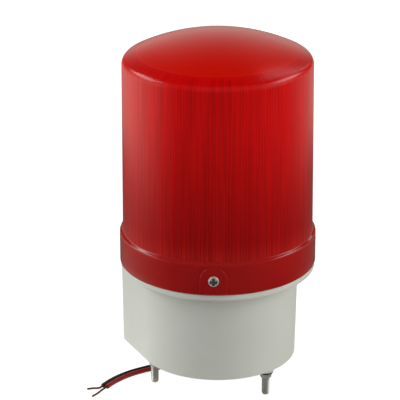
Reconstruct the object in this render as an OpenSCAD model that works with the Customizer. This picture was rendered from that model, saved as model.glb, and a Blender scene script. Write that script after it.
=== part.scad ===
// Rotating warning beacon: a red ribbed lens on a plastic base, with a geared mirror that turns round a lamp.
// Millimetres. The stud tips stand on z = 0, the lens axis is the Z axis and the base's flat back faces +Y.

/* [Mounting studs] */
// Distance from a stud's middle to the foot of the round wall
stud_inset = 6; // [6:0.1:9]
// Turn of the first stud about the axis
stud_clock = -70; // [-75:1:-65]
// Radius of a stud
stud_r = 2; // [1.8:0.1:2.2]
// Length of a stud below its boss
stud_free = 13; // [12.5:0.1:18]
// Radius of the boss round a stud
boss_r = 4.2; // [4:0.1:4.8]
// Height of a boss below the base
boss_h = 2.5; // [2:0.1:4]
// Thickness of the rubber washer under a boss
washer_t = 0.8; // [0.6:0.1:1.5]
// Radius of that washer
washer_r = 3.9; // [3.6:0.1:4.2]
// Height of the flared nut
nut_h = 2.7; // [2.4:0.1:3.6]
// Radius of the nut's wide end
nut_r = 3.4; // [3.2:0.1:3.6]
// Radius of the bolt head inside the base
bolt_head_r = 3.5; // [3.2:0.1:3.5]
// Height of that head
bolt_head_h = 2.6; // [2:0.1:3]

/* [Base] */
// Height of the base, from its bottom edge to the lens
base_h = 51; // [48:0.5:60]
// How far the round wall stands in from the collar, at the top
wall_step = 8.8; // [8:0.1:9]
// How much the round wall narrows down to the bottom
wall_draft = 1.2; // [0.4:0.1:1.4]
// How far the flat back stands in from the collar
back_step = 19; // [18:0.5:21]
// How far the two rear corners pass the collar
corner_proud = 0.2; // [0.1:0.1:0.4]
// Thickness of the base wall
base_t = 2.4; // [2:0.1:2.8]
// Thickness of the floor
floor_t = 3; // [2.5:0.1:4]
// How far the lip under the lens stands in from the collar
lip_step = 0.5; // [0.2:0.1:1.5]
// Height of that lip
lip_h = 3.2; // [2.8:0.1:3.5]
// Rounding of that lip's upper edge
lip_round = 0.9; // [0.5:0.1:1.2]
// Radius of the hollow curve under the lip
cove_r = 5.5; // [4:0.1:6]
// Thickness of the shelf that the deck rests on
shelf_t = 3.6; // [3.4:0.1:5]
// Width of that shelf, from the outside of the wall
shelf_w = 3.4; // [3.2:0.1:4]
// Gap between the lens and the neck that it slips over
neck_gap = 0.3; // [0.2:0.1:0.6]
// Thickness of that neck
neck_t = 3.1; // [2.8:0.1:3.2]
// Height of the neck
neck_h = 13; // [12.5:0.1:14]

/* [Lens] */
// Outer radius of the collar
collar_r = 50; // [46:0.5:56]
// Height of the collar
collar_h = 16.4; // [16:0.1:19]
// Rounding of the collar's upper edge
collar_edge_r = 1.2; // [0.8:0.1:1.3]
// Hollow rounding between the collar's ledge and the wall
foot_r = 0.8; // [0.5:0.1:0.9]
// Slope of that ledge
ledge_slope = 30; // [20:1:35]
// Thickness of the collar
collar_t = 3; // [2.9:0.1:3.1]
// How far the wall above the collar stands in from it
collar_step = 1.6; // [1.4:0.1:1.8]
// How much the wall narrows up to the shoulder
lens_draft = 0.5; // [0.3:0.1:0.6]
// Wall thickness
lens_t = 2.3; // [2.2:0.1:2.5]
// Height of the lens from the collar's bottom edge to its crown
lens_h = 119; // [112:0.5:140]
// Rounding of the shoulder
shoulder_r = 4; // [3.5:0.1:6]
// Height from the start of the shoulder to the crown
crown_rise = 14.7; // [13:0.1:16]
// Number of ribs inside the wall
rib_count = 120; // [90:1:130]
// Depth of a rib
rib_d = 0.7; // [0.4:0.1:0.9]
// Thickness of the seal under the lens
seal_t = 0.6; // [0.5:0.1:1]

/* [Lens screws] */
// Turn of the first lens screw about the axis
screw_clock = -118.5; // [-125:0.5:-115]
// Height of the screws above the collar's bottom edge
screw_z = 8; // [7.5:0.1:8.5]
// Radius of the screw thread
screw_r = 1.5; // [1.3:0.1:1.6]
// Radius of the screw head
screw_head_r = 2.7; // [2.4:0.1:2.9]
// Height of the screw head
screw_head_h = 1.9; // [1.6:0.1:2.2]
// Distance from the round top of the flat pad under a head to the collar's rounded edge
pad_gap = 0.2; // [0.2:0.1:1]
// How far a pad stands out
pad_proud = 0.6; // [0.5:0.1:0.8]

/* [Deck and lamp] */
// Gap between the deck plate and the neck round it
deck_gap = 0.4; // [0.3:0.1:0.6]
// Thickness of the deck plate
deck_t = 1.5; // [1.2:0.1:2]
// Distance from a deck screw's middle to the edge of the shelf
deck_screw_in = 2.8; // [2.6:0.1:3]
// Turn of the first deck screw about the axis
deck_screw_clock = 80; // [76:1:84]
// Radius of the pillar under a deck screw
pillar_r = 4; // [3.6:0.1:4.2]
// Height of that pillar
pillar_h = 14; // [12:0.5:16]
// Radius of the lamp post where the turntable runs
post_r = 5; // [4.8:0.1:5.2]
// Radius of the wire hole through the post
post_bore_r = 3; // [2.5:0.1:3.2]
// Height of the turntable's seat above the deck
seat_h = 6; // [5.9:0.1:6.5]
// Height of the post above the deck
post_h = 22; // [21.5:0.1:24]
// Radius of the lamp holder
holder_r = 9; // [8.8:0.1:9.2]
// Height of the lamp holder
holder_h = 14; // [13:0.1:15]
// Radius of the lamp's metal cap
cap_r = 7.5; // [7:0.1:7.6]
// Height of the lamp's metal cap
cap_h = 15; // [14.5:0.1:16]
// Radius of the lamp's glass
glass_r = 9.5; // [8.5:0.1:10]

/* [Gear train] */
// Tooth module of the turntable stage, as a share of the collar's radius
slow_share = 0.013; // [0.0128:0.0001:0.0132]
// Teeth of the turntable gear
turntable_teeth = 64; // [64:4:64]
// Teeth of the idler's small gear
idler_small_teeth = 16; // [16:1:16]
// Tooth module of the motor stage, as a share of the collar's radius
fast_share = 0.01; // [0.0098:0.0001:0.0102]
// Teeth of the idler's large gear
idler_large_teeth = 56; // [56:2:56]
// Teeth of the motor pinion
pinion_teeth = 14; // [14:1:14]
// Pressure angle of the teeth
pressure_angle = 25; // [24:0.5:26]
// Free play between meshing teeth
backlash = 0.1; // [0.08:0.01:0.14]
// Turn of the idler about the lamp axis
idler_clock = 30; // [26:1:34]
// Turn of the motor about the idler, from the line to the lamp axis
motor_swing = 57; // [56:0.5:60]
// Width of the turntable gear's teeth
turntable_face = 4; // [3.6:0.1:4.2]
// Radius of the turntable's hub
hub_r = 8.5; // [8:0.1:9]
// Radial running clearance of a shaft in its hole
run_gap = 0.05; // [0.03:0.01:0.08]
// Gap between a turning face and the fixed face next to it
end_gap = 0.3; // [0.25:0.01:0.35]
// Radius of the idler's pin
idler_pin_r = 1.5; // [1.3:0.1:1.6]
// Radius of the motor's case, as a share of the collar's radius
motor_share = 0.24; // [0.22:0.002:0.246]
// Length of the motor's case
motor_h = 30; // [24:0.5:34]
// Radius of the motor's shaft
shaft_r = 1; // [0.9:0.05:1.1]

/* [Mirror] */
// Focal length of the mirror
mirror_focus = 13; // [12.5:0.1:14]
// Radius of the mirror's rim
mirror_r = 27; // [24:0.5:29]
// Thickness of the mirror
mirror_t = 1.2; // [1:0.1:1.4]
// Thickness of the upright that carries the mirror
upright_t = 2.5; // [2:0.1:2.6]
// Width of that upright
upright_w = 14; // [12:0.5:15]

/* [Cable] */
// Diameter of one core of the cable
core_d = 2.4; // [2.2:0.1:2.5]
// Diameter of a core's bare wire
wire_d = 1.1; // [0.8:0.1:1.4]
// Radius of the cable's rubber bush
bush_r = 6; // [5.5:0.1:6.5]

/* [Hidden] */
// Smoothness of round faces
$fn = 96;
// Gap between parts that slip together
slip_gap = 0.05;
// Gap between a bolt and its hole
bolt_gap = 0.12;
// Gap between the threads below a nut and that nut
thread_gap = 0.1;
// How far the shank of a bolt is thinner than its thread
shank_step = 0.05;
shank_r = stud_r - shank_step;
// Depth of the seat of a bolt head in the floor
head_sink = 0.4;
// Small overlap that makes cuts clean
cut = 1;
// Heights of the main planes above the stud tips
mount_z = stud_free;
base_z = mount_z + boss_h;
floor_z = base_z + floor_t;
lens_z = base_z + base_h;
deck_z = lens_z + deck_t;
collar_top_z = lens_z + collar_h;
ledge_z = lens_z + neck_h + seal_t;
apex_z = lens_z + lens_h;
shoulder_z = apex_z - crown_rise;
// Radii that follow from the collar, from the lens in to the deck and down to the studs
collar_bore_r = collar_r - collar_t;
lens_r_low = collar_r - collar_step;
lens_r_top = lens_r_low - lens_draft;
lens_bore_r = lens_r_top - lens_t;
neck_r = collar_bore_r - neck_gap;
neck_bore_r = neck_r - neck_t;
deck_r = neck_bore_r - deck_gap;
lip_r = collar_r - lip_step;
corner_r = collar_r + corner_proud;
base_r_top = collar_r - wall_step;
base_r_bottom = base_r_top - wall_draft;
base_back = collar_r - back_step;
shelf_open_r = base_r_top - shelf_w;
deck_screw_circle_r = shelf_open_r - deck_screw_in;
stud_circle_r = base_r_bottom - stud_inset;
slow_module = slow_share * collar_r;
fast_module = fast_share * collar_r;
motor_r = motor_share * collar_r;
// Half the width of a screw pad, whose round top ends just below the collar's edge
pad_r = collar_h - collar_edge_r - pad_gap - screw_z;
// Clearances inside the lens
flute_gap = 0.1;
seal_lap = 1;
// Number of screws, studs and pillars
ring_count = 3;
// Heights of the turning parts above the deck
large_lift = 2;
small_drop = 0.1;
large_z = deck_z + large_lift;
large_face = 3;
small_z = large_z + large_face;
small_face = seat_h + turntable_face - large_lift - large_face - small_drop;
gear_z = deck_z + seat_h + end_gap;
gear_top_z = gear_z + turntable_face;
post_over = 2;
hub_top_z = deck_z + post_h - post_over;
ring_z = hub_top_z + end_gap;
ring_t = 0.8;
holder_z = deck_z + post_h;
cap_in = 10;
cap_z = holder_z + holder_h - cap_in;
pin_r = 0.9;
pin_out = 0.8;
pin_lift = 6;
glass_z = cap_z + cap_h;
glass_lift = 1.5;
lamp_z = glass_z + glass_r + glass_lift;
// Centres of the gears
slow_span = slow_module * (turntable_teeth + idler_small_teeth) / 2;
fast_span = fast_module * (idler_large_teeth + pinion_teeth) / 2;
idler_at = slow_span * [cos(idler_clock), sin(idler_clock)];
motor_clock = idler_clock + 180 + motor_swing;
motor_at = idler_at + fast_span * [cos(motor_clock), sin(motor_clock)];
// Turn of each gear that puts its teeth in mesh
turntable_phase = idler_clock * turntable_teeth / 360;
idler_turn = idler_clock + 180 - (0.5 - turntable_phase) * 360 / idler_small_teeth;
large_phase = motor_clock * idler_large_teeth / 360;
pinion_turn = motor_clock + 180 - (0.5 - large_phase) * 360 / pinion_teeth;
// Screw sizes inside the lens
deck_screw_r = 1.5;
deck_screw_head_r = 2.8;
deck_screw_head_h = 1.9;
deck_screw_l = 9;
post_screw_r = 1;
post_screw_head_r = 1.8;
post_screw_head_h = 1.2;
post_foot_t = 1.5;
motor_screw_r = 1.25;
motor_screw_head_r = 2.2;
motor_screw_head_h = 1.2;
motor_screw_in = 3.5;
motor_screw_span = 2 * (motor_r - motor_screw_in);
motor_screw_l = 4;
motor_nose_r = 4;
// Radii of the post, which stands clear of the nearer motor screw
near_screw = motor_at - motor_screw_span / 2 * [cos(motor_clock + 90), sin(motor_clock + 90)];
foot_gap = 0.12;
post_screw_in = 2;
seat_gap = 0.6;
post_foot_r = norm(near_screw) - motor_screw_head_r - foot_gap;
post_screw_circle_r = post_foot_r - post_screw_in;
seat_r = post_screw_circle_r - post_screw_head_r - seat_gap;
// Sizes of the mirror's screws
mirror_screw_r = 1.25;
mirror_screw_head_r = 2.2;
mirror_screw_head_h = 1.4;
mirror_screw_span = 24;
// Where the mirror's upright stands behind the lamp
upright_gap = 3;
upright_y = mirror_focus + upright_gap;
mirror_boss_r = 3;
slot_w = 20;
slot_top = 14;
// Route of the cable's middle line, from its bush to its cut end
bush_at = [-14, 19];
bush_lip = 1.5;
bush_grip = 1.5;
bush_body_r = bush_r - bush_grip;
core_z = core_d / 2;
bend_drop = 2;
bend_r = base_z - bush_lip - core_z - bend_drop;
bend_steps = 5;
bend = [for (k = [0:bend_steps]) let (a = 90 * k / bend_steps)
    [bush_at[0] - bend_r * (1 - cos(a)), bush_at[1], core_z + bend_r * (1 - sin(a))]];
lie = [[-30, 19.3], [-36, 18.9], [-42, 18], [-48, 16.2], [-54, 13.6], [-60, 10]];
route = concat([[bush_at[0], bush_at[1], base_z - bush_lip]], bend, [for (p = lie) [p[0], p[1], core_z]]);
core_gap = 0.03;
core_shift = core_d / 2 + core_gap;
// Bare wires that fan out from the cut end
wire_z = wire_d / 2;
wire_stub = 0.6;
black_wire_lie = [[-63, 10.6], [-66, 11.6], [-69, 12.2]];
red_wire_lie = [[-63, 7.6], [-66, 5.4], [-70, 3.2]];

// Repeats its children evenly about the axis
module around(clock, r) {
    for (k = [0:ring_count - 1])
        rotate([0, 0, clock + k * 360 / ring_count])
            translate([r, 0, 0])
                children();
}

// Repeats its children evenly about the axis, each turned so that its own z points outward and its y up
module facing_out(clock, r, z) {
    around(clock, r)
        translate([0, 0, z])
            rotate([90, 0, 90])
                children();
}

// Points from the crown's middle down to the wall, for a crown that runs tangent into a rounded shoulder
function crown_radius(wall, edge, rise) =
    (pow(wall - edge, 2) + rise * rise - edge * edge) / (2 * (rise - edge));
function crown_points(wall, edge, rise, top, crown_n, edge_n) =
    let (big = crown_radius(wall, edge, rise), turn = atan2(wall - edge, big - rise))
    concat(
        [for (k = [0:crown_n]) let (a = turn * k / crown_n) [big * sin(a), top - big + big * cos(a)]],
        [for (k = [1:edge_n]) let (a = turn + (90 - turn) * k / edge_n)
            [wall - edge + edge * sin(a), top - rise + edge * cos(a)]]);

// Radius of the base wall at a height
function base_r(z) = base_r_bottom + (base_r_top - base_r_bottom) * (z - base_z) / base_h;

// Involute helpers: all angles in degrees
function involute_angle(r, base) = sqrt(pow(r / base, 2) - 1) * 180 / PI - acos(base / r);
function tooth_half(r, mod, teeth) =
    let (pitch = mod * teeth / 2, base = pitch * cos(pressure_angle))
    (90 / teeth) - (backlash / 2 / pitch) * 180 / PI / 2
        + involute_angle(pitch, base) - involute_angle(max(r, base), base);
function gear_points(mod, teeth) =
    let (pitch = mod * teeth / 2, base = pitch * cos(pressure_angle), root = pitch - 1.25 * mod,
        tip = pitch + mod, low = max(base, root + 0.05 * mod), steps = 3)
    [for (k = [0:teeth - 1]) let (mid = k * 360 / teeth)
        each concat(
            [[root, mid - tooth_half(low, mod, teeth) - 0.1]],
            [for (s = [0:steps]) let (r = low + (tip - low) * s / steps) [r, mid - tooth_half(r, mod, teeth)]],
            [for (s = [steps:-1:0]) let (r = low + (tip - low) * s / steps) [r, mid + tooth_half(r, mod, teeth)]],
            [[root, mid + tooth_half(low, mod, teeth) + 0.1]])];

// One spur gear as a flat-sided prism
module spur(mod, teeth, face) {
    linear_extrude(height = face)
        polygon([for (p = gear_points(mod, teeth)) p[0] * [cos(p[1]), sin(p[1])]]);
}

// Tube along a route: rings of eight points joined into one closed skin
function unit(v) = v / norm(v);
function way(path, k) = unit(path[min(k + 1, len(path) - 1)] - path[max(k - 1, 0)]);
function ring_points(path, k, r, side) =
    let (along = way(path, k), over = unit(cross(along, side)), flat = cross(over, along))
    [for (s = [0:7]) path[k] + r * (cos(45 * s + 22.5) * flat + sin(45 * s + 22.5) * over)];
module tube(path, r, side) {
    sides = 8;
    last = len(path) - 1;
    points = [for (k = [0:last]) each ring_points(path, k, r, side(k))];
    skin = [for (k = [0:last - 1]) for (s = [0:sides - 1])
        [k * sides + s, k * sides + (s + 1) % sides, (k + 1) * sides + (s + 1) % sides, (k + 1) * sides + s]];
    ends = [[for (s = [sides - 1:-1:0]) s], [for (s = [0:sides - 1]) last * sides + s]];
    polyhedron(points, concat(skin, ends), convexity = 4);
}

// Sideways direction of the cable at a route point: level, and square to the way it runs
function level_side(path, k) =
    let (run = path[min(k + 1, len(path) - 1)] - path[max(k - 1, 0)], flat = [run[0], run[1], 0])
    norm(flat) < 0.01 ? [0, 1, 0] : unit([run[1], -run[0], 0]);
function shifted(path, by) = [for (k = [0:len(path) - 1]) path[k] + by * level_side(path, k)];
function wire_route(core, lie) =
    let (last = len(core) - 1, start = core[last], run = unit(start - core[last - 1]))
    concat([start, start + wire_stub * run], [for (p = lie) [p[0], p[1], wire_z]]);

// Red lens with its collar, pads, ribs and screw holes
module lens() {
    outer_crown = crown_points(lens_r_top, shoulder_r, crown_rise, apex_z, 10, 5);
    inner_crown = crown_points(lens_bore_r, shoulder_r - lens_t, crown_rise - lens_t, apex_z - lens_t, 10, 4);
    edge_at = [collar_r - collar_edge_r, collar_top_z - collar_edge_r];
    edge_n = 4;
    foot_n = 3;
    edge_end = edge_at + collar_edge_r * [sin(ledge_slope), cos(ledge_slope)];
    foot_end_r = lens_r_low + foot_r * (1 - sin(ledge_slope));
    foot_z = edge_end[1] + (edge_end[0] - foot_end_r) * tan(ledge_slope) + foot_r * cos(ledge_slope);
    foot_at = [lens_r_low + foot_r, foot_z];
    sweep = 90 - ledge_slope;
    flute_end = 2;
    pad_root = 2.9;
    pad_foot = 0.4;
    flutes_top = shoulder_z - flute_end;
    color([0.72, 0.03, 0.03, 0.8])
    difference() {
        union() {
            rotate_extrude()
                polygon(concat(
                    [[0, lens_z], [collar_r, lens_z]],
                    [for (k = [0:edge_n]) let (a = sweep * k / edge_n) edge_at + collar_edge_r * [cos(a), sin(a)]],
                    [for (k = [0:foot_n]) let (a = 180 + sweep * (1 - k / foot_n))
                        foot_at + foot_r * [cos(a), sin(a)]],
                    [for (k = [len(outer_crown) - 1:-1:0]) outer_crown[k]]));
            facing_out(screw_clock, collar_r - pad_root, lens_z)
                linear_extrude(height = pad_root + pad_proud) {
                    translate([0, screw_z])
                        circle(r = pad_r);
                    translate([-pad_r, pad_foot])
                        square([2 * pad_r, screw_z - pad_foot]);
                }
        }
        translate([0, 0, lens_z - cut])
            cylinder(h = ledge_z - lens_z + cut, r = collar_bore_r);
        translate([0, 0, ledge_z - cut])
            linear_extrude(height = flutes_top - ledge_z + 2 * cut)
                polygon([for (k = [0:2 * rib_count - 1]) let (a = 180 * k / rib_count)
                    (lens_bore_r - flute_gap - (k % 2) * rib_d) * [cos(a), sin(a)]]);
        rotate_extrude()
            polygon(concat([[0, flutes_top], [lens_bore_r, flutes_top]],
                [for (k = [len(inner_crown) - 1:-1:0]) inner_crown[k]]));
        facing_out(screw_clock, neck_bore_r, lens_z + screw_z)
            cylinder(h = collar_r, r = screw_r + bolt_gap);
    }
}

// Pan-head screws with a cross recess that hold the lens
module lens_screws() {
    tip_out = 0.6;
    face_r = collar_r + pad_proud;
    color([0.75, 0.74, 0.7])
    facing_out(screw_clock, face_r, lens_z + screw_z)
        pan_screw(screw_r, face_r - neck_bore_r + tip_out, screw_head_r, screw_head_h);
}

// Flat rubber seal between the neck and the lens
module lens_seal() {
    color([0.1, 0.1, 0.1])
    translate([0, 0, lens_z + neck_h])
        difference() {
            cylinder(h = seal_t, r = neck_r);
            translate([0, 0, -cut])
                cylinder(h = seal_t + 2 * cut, r = neck_r - 2 * seal_lap);
        }
}

// Base shape between two heights: round in front, straight-sided and flat behind
module base_form(low, high, inset) {
    r_low = base_r(low) - inset;
    r_high = base_r(high) - inset;
    back = base_back - inset;
    translate([0, 0, low]) {
        difference() {
            cylinder(h = high - low, r1 = r_low, r2 = r_high);
            translate([-2 * r_high, 0, -cut])
                cube([4 * r_high, 2 * r_high, high - low + 2 * cut]);
        }
        translate([0, back, 0])
            rotate([90, 0, 0])
                linear_extrude(height = back)
                    polygon([[-r_low, 0], [r_low, 0], [r_high, high - low], [-r_high, high - low]]);
    }
}

// Base moulding: walls, floor, lip, neck, pillars and stud bosses
module base_housing() {
    lip_z = lens_z - lip_h;
    cove_n = 5;
    lip_n = 3;
    core_w = 10;
    core_r = base_r_bottom - core_w;
    cove_sink = 0.3;
    cove_wall = base_r(lip_z - cove_r) - cove_sink;
    rib_w = 5;
    pillar_gap = 0.2;
    color([0.82, 0.82, 0.78])
    difference() {
        union() {
            difference() {
                union() {
                    intersection() {
                        base_form(base_z, lens_z - lip_h / 2, 0);
                        translate([0, 0, base_z - cut])
                            cylinder(h = base_h + 2 * cut, r = corner_r);
                    }
                    rotate_extrude()
                        polygon(concat(
                            [[core_r, lip_z - cove_r]],
                            [for (k = [cove_n:-1:0]) let (a = 90 + 90 * k / cove_n)
                                [cove_wall + cove_r, lip_z - cove_r] + cove_r * [cos(a), sin(a)]],
                            [[lip_r, lip_z]],
                            [for (k = [0:lip_n]) let (a = 90 * k / lip_n)
                                [lip_r - lip_round, lens_z - lip_round] + lip_round * [cos(a), sin(a)]],
                            [[neck_r, lens_z], [neck_r, lens_z + neck_h], [core_r, lens_z + neck_h]]));
                    around(stud_clock, stud_circle_r)
                        translate([0, 0, mount_z])
                            cylinder(h = boss_h + floor_t / 2, r = boss_r);
                }
                base_form(floor_z, lens_z - shelf_t, base_t);
                translate([0, 0, lens_z - shelf_t - cut])
                    cylinder(h = shelf_t + 2 * cut, r = shelf_open_r);
                translate([0, 0, lens_z])
                    cylinder(h = neck_h + cut, r = neck_bore_r);
            }
            around(deck_screw_clock, deck_screw_circle_r)
                translate([0, 0, lens_z - pillar_h]) {
                    cylinder(h = pillar_h - pillar_gap, r = pillar_r);
                    translate([0, -rib_w / 2, 0])
                        cube([base_r_bottom - deck_screw_circle_r, rib_w, pillar_h - cut]);
                }
        }
        around(stud_clock, stud_circle_r)
            translate([0, 0, mount_z - cut])
                cylinder(h = boss_h + floor_t + 2 * cut, r = stud_r + bolt_gap);
        around(stud_clock, stud_circle_r)
            translate([0, 0, floor_z - head_sink])
                cylinder(h = bolt_head_h + head_sink + cut, r = bolt_head_r + bolt_gap);
        around(deck_screw_clock, deck_screw_circle_r)
            translate([0, 0, lens_z - deck_screw_l - cut])
                cylinder(h = deck_screw_l + 2 * cut, r = deck_screw_r + slip_gap);
        facing_out(screw_clock, neck_bore_r - cut, lens_z + screw_z)
            cylinder(h = neck_r - neck_bore_r + 2 * cut, r = screw_r + slip_gap);
        translate([bush_at[0], bush_at[1], base_z - cut])
            cylinder(h = floor_t + 2 * cut, r = bush_body_r);
    }
}

// Bolts that hold the beacon down: heads on the floor inside, threads out through the bosses
module mounting_bolts() {
    tip = 0.5;
    thread_top = mount_z - washer_t - nut_h - thread_gap;
    color([0.72, 0.72, 0.72])
    around(stud_clock, stud_circle_r) {
        cylinder(h = tip, r1 = stud_r - tip, r2 = stud_r);
        translate([0, 0, tip])
            cylinder(h = thread_top - tip, r = stud_r);
        translate([0, 0, thread_top])
            cylinder(h = floor_z - head_sink - thread_top, r = shank_r);
        translate([0, 0, floor_z - head_sink])
            cylinder(h = bolt_head_h, r = bolt_head_r);
    }
}

// Rubber washers under the bosses
module rubber_washers() {
    color([0.06, 0.06, 0.06])
    around(stud_clock, stud_circle_r)
        translate([0, 0, mount_z - washer_t])
            difference() {
                cylinder(h = washer_t, r = washer_r);
                translate([0, 0, -cut])
                    cylinder(h = washer_t + 2 * cut, r = shank_r + slip_gap);
            }
}

// Flared nuts on the studs
module mounting_nuts() {
    nut_wall = 0.7;
    low_r = stud_r + nut_wall;
    brim = 0.6;
    color([0.7, 0.7, 0.7])
    around(stud_clock, stud_circle_r)
        translate([0, 0, mount_z - washer_t - nut_h])
            difference() {
                union() {
                    cylinder(h = nut_h - brim, r1 = low_r, r2 = nut_r);
                    translate([0, 0, nut_h - brim])
                        cylinder(h = brim, r = nut_r);
                }
                translate([0, 0, -cut])
                    cylinder(h = nut_h + 2 * cut, r = shank_r + slip_gap);
            }
}

// Steel deck that carries the lamp, the gears and the motor
module deck_plate() {
    color([0.7, 0.71, 0.72])
    difference() {
        translate([0, 0, lens_z])
            cylinder(h = deck_t, r = deck_r);
        translate([0, 0, lens_z - cut]) {
            cylinder(h = deck_t + 2 * cut, r = post_bore_r);
            around(deck_screw_clock, deck_screw_circle_r)
                cylinder(h = deck_t + 2 * cut, r = deck_screw_r + bolt_gap);
            translate(motor_at)
                cylinder(h = deck_t + 2 * cut, r = motor_nose_r + slip_gap);
            translate(idler_at)
                cylinder(h = deck_t + 2 * cut, r = idler_pin_r);
            motor_screw_places()
                cylinder(h = deck_t + 2 * cut, r = motor_screw_r + slip_gap);
            post_screw_places()
                cylinder(h = deck_t + 2 * cut, r = post_screw_r + slip_gap);
        }
    }
}

// Places of the two motor screws and the two post screws
module motor_screw_places() {
    for (side = [-1, 1])
        translate(motor_at + side * motor_screw_span / 2 * [cos(motor_clock + 90), sin(motor_clock + 90)])
            children();
}
module post_screw_places() {
    for (side = [-1, 1])
        translate(side * post_screw_circle_r * [cos(idler_clock + 90), sin(idler_clock + 90)])
            children();
}

// Pan-head screw with a cross recess, with its head's underside at z = 0
module pan_screw(thread_r, length, head_r, head_h) {
    dome_n = 5;
    rim_h = 0.35 * head_h;
    recess_l = 1.2 * head_r;
    recess_w = 0.27 * head_r;
    recess_d = 0.55 * head_h;
    difference() {
        rotate_extrude()
            polygon(concat(
                [[0, -length], [thread_r, -length], [thread_r, 0], [head_r, 0]],
                [for (k = [0:dome_n]) let (a = 90 * k / dome_n)
                    [head_r * cos(a), rim_h + (head_h - rim_h) * sin(a)]]));
        for (turn = [0, 90])
            rotate([0, 0, turn])
                translate([-recess_l / 2, -recess_w / 2, head_h - recess_d])
                    cube([recess_l, recess_w, recess_d + cut]);
    }
}

// Screws that hold the deck to the base
module deck_screws() {
    color([0.75, 0.74, 0.7])
    around(deck_screw_clock, deck_screw_circle_r)
        translate([0, 0, deck_z])
            pan_screw(deck_screw_r, deck_screw_l, deck_screw_head_r, deck_screw_head_h);
}

// Hollow post that the turntable runs on
module lamp_post() {
    groove = 0.5;
    color([0.78, 0.66, 0.36])
    translate([0, 0, deck_z])
        difference() {
            union() {
                cylinder(h = post_foot_t, r = post_foot_r);
                cylinder(h = seat_h, r = seat_r);
                cylinder(h = post_h, r = post_r);
            }
            translate([0, 0, -cut])
                cylinder(h = post_h + 2 * cut, r = post_bore_r);
            translate([0, 0, ring_z - deck_z])
                difference() {
                    cylinder(h = ring_t, r = post_r + cut);
                    cylinder(h = ring_t, r = post_r - groove);
                }
            post_screw_places()
                translate([0, 0, -cut])
                    cylinder(h = post_foot_t + 2 * cut, r = post_screw_r + slip_gap);
        }
}

// Screws through the post's foot
module post_screws() {
    color([0.75, 0.74, 0.7])
    post_screw_places()
        translate([0, 0, deck_z + post_foot_t])
            pan_screw(post_screw_r, post_foot_t + deck_t, post_screw_head_r, post_screw_head_h);
}

// Bayonet lamp holder on top of the post, with two hooked slots for the lamp's pins
module lamp_holder() {
    slot_gap = 0.15;
    hook_turn = 35;
    hook_w = 2 * (pin_r + slot_gap);
    color([0.8, 0.68, 0.4])
    translate([0, 0, holder_z])
        difference() {
            cylinder(h = holder_h, r = holder_r);
            translate([0, 0, cap_z - holder_z])
                cylinder(h = holder_h, r = cap_r + slip_gap);
            translate([0, 0, -cut])
                cylinder(h = holder_h, r = post_bore_r);
            for (side = [0, 180])
                rotate([0, 0, side])
                    translate([0, 0, cap_z - holder_z + pin_lift]) {
                        rotate([90, 0, 90])
                            cylinder(h = holder_r + cut, r = hook_w / 2);
                        rotate_extrude(angle = hook_turn)
                            translate([cap_r - cut, -hook_w / 2])
                                square([holder_r - cap_r + 2 * cut, hook_w]);
                        rotate([0, 0, hook_turn])
                            translate([cap_r - cut, -hook_w / 2, -hook_w / 2])
                                cube([holder_r - cap_r + 2 * cut, hook_w, holder_h]);
                    }
        }
}

// Metal cap of the lamp, with its two bayonet pins
module bulb_cap() {
    neck = 2;
    neck_in = 0.8;
    color([0.8, 0.78, 0.7])
    translate([0, 0, cap_z]) {
        cylinder(h = cap_h - neck, r = cap_r);
        translate([0, 0, cap_h - neck])
            cylinder(h = neck, r1 = cap_r, r2 = cap_r - neck_in);
        translate([-cap_r - pin_out, 0, pin_lift])
            rotate([0, 90, 0])
                cylinder(h = 2 * (cap_r + pin_out), r = pin_r);
    }
}

// Glass of the lamp, a sealed bulb
module bulb_glass() {
    glass_in = 0.8;
    glass_neck_r = cap_r - glass_in;
    color([0.95, 0.95, 0.92, 0.5])
    union() {
        translate([0, 0, glass_z])
            cylinder(h = lamp_z - glass_z, r = glass_neck_r);
        translate([0, 0, lamp_z])
            sphere(r = glass_r);
    }
}

// Ring in the post's groove that keeps the turntable down
module retaining_ring() {
    ring_w = 2.4;
    ring_in = 0.5;
    color([0.5, 0.5, 0.52])
    translate([0, 0, ring_z])
        difference() {
            cylinder(h = ring_t, r = post_r + ring_w);
            translate([0, 0, -cut])
                cylinder(h = ring_t + 2 * cut, r = post_r - ring_in);
        }
}

// Turntable moulding: gear, hub and the upright for the mirror
module turntable_gear() {
    hole_r = 3.2;
    hole_at = 14;
    upright_over = 5;
    gusset_w = 5;
    upright_top = lamp_z + mirror_screw_span / 2 + upright_over;
    gusset_t = 1.6;
    gusset_h = 14;
    color([0.88, 0.88, 0.84])
    difference() {
        union() {
            translate([0, 0, gear_z])
                spur(slow_module, turntable_teeth, turntable_face);
            translate([0, 0, gear_z])
                cylinder(h = hub_top_z - gear_z, r = hub_r);
            translate([-upright_w / 2, upright_y, gear_top_z - cut])
                cube([upright_w, upright_t, upright_top - gear_top_z + cut]);
            for (side = [-1, 1])
                translate([side * (upright_w - gusset_t) / 2 - gusset_t / 2, 0, gear_top_z - cut])
                    rotate([90, 0, 90])
                        linear_extrude(height = gusset_t)
                            polygon([[upright_y - gusset_w, 0], [upright_y + cut, 0], [upright_y + cut, gusset_h],
                                [upright_y, gusset_h], [upright_y - gusset_w, cut]]);
        }
        translate([0, 0, gear_z - cut])
            cylinder(h = hub_top_z - gear_z + 2 * cut, r = post_r + run_gap);
        for (turn = [-30, 210, 270])
            rotate([0, 0, turn])
                translate([hole_at, 0, gear_z - cut])
                    cylinder(h = turntable_face + 2 * cut, r = hole_r);
        mirror_screw_places()
            translate([0, 0, -upright_t - 2 * cut])
                cylinder(h = upright_t + 3 * cut, r = mirror_screw_r + bolt_gap);
    }
}

// Places of the mirror's screws on the upright's rear face, each with its own z pointing backward
module mirror_screw_places() {
    for (side = [-1, 1])
        translate([0, upright_y + upright_t, lamp_z + side * mirror_screw_span / 2])
            rotate([-90, 0, 0])
                children();
}

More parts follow.
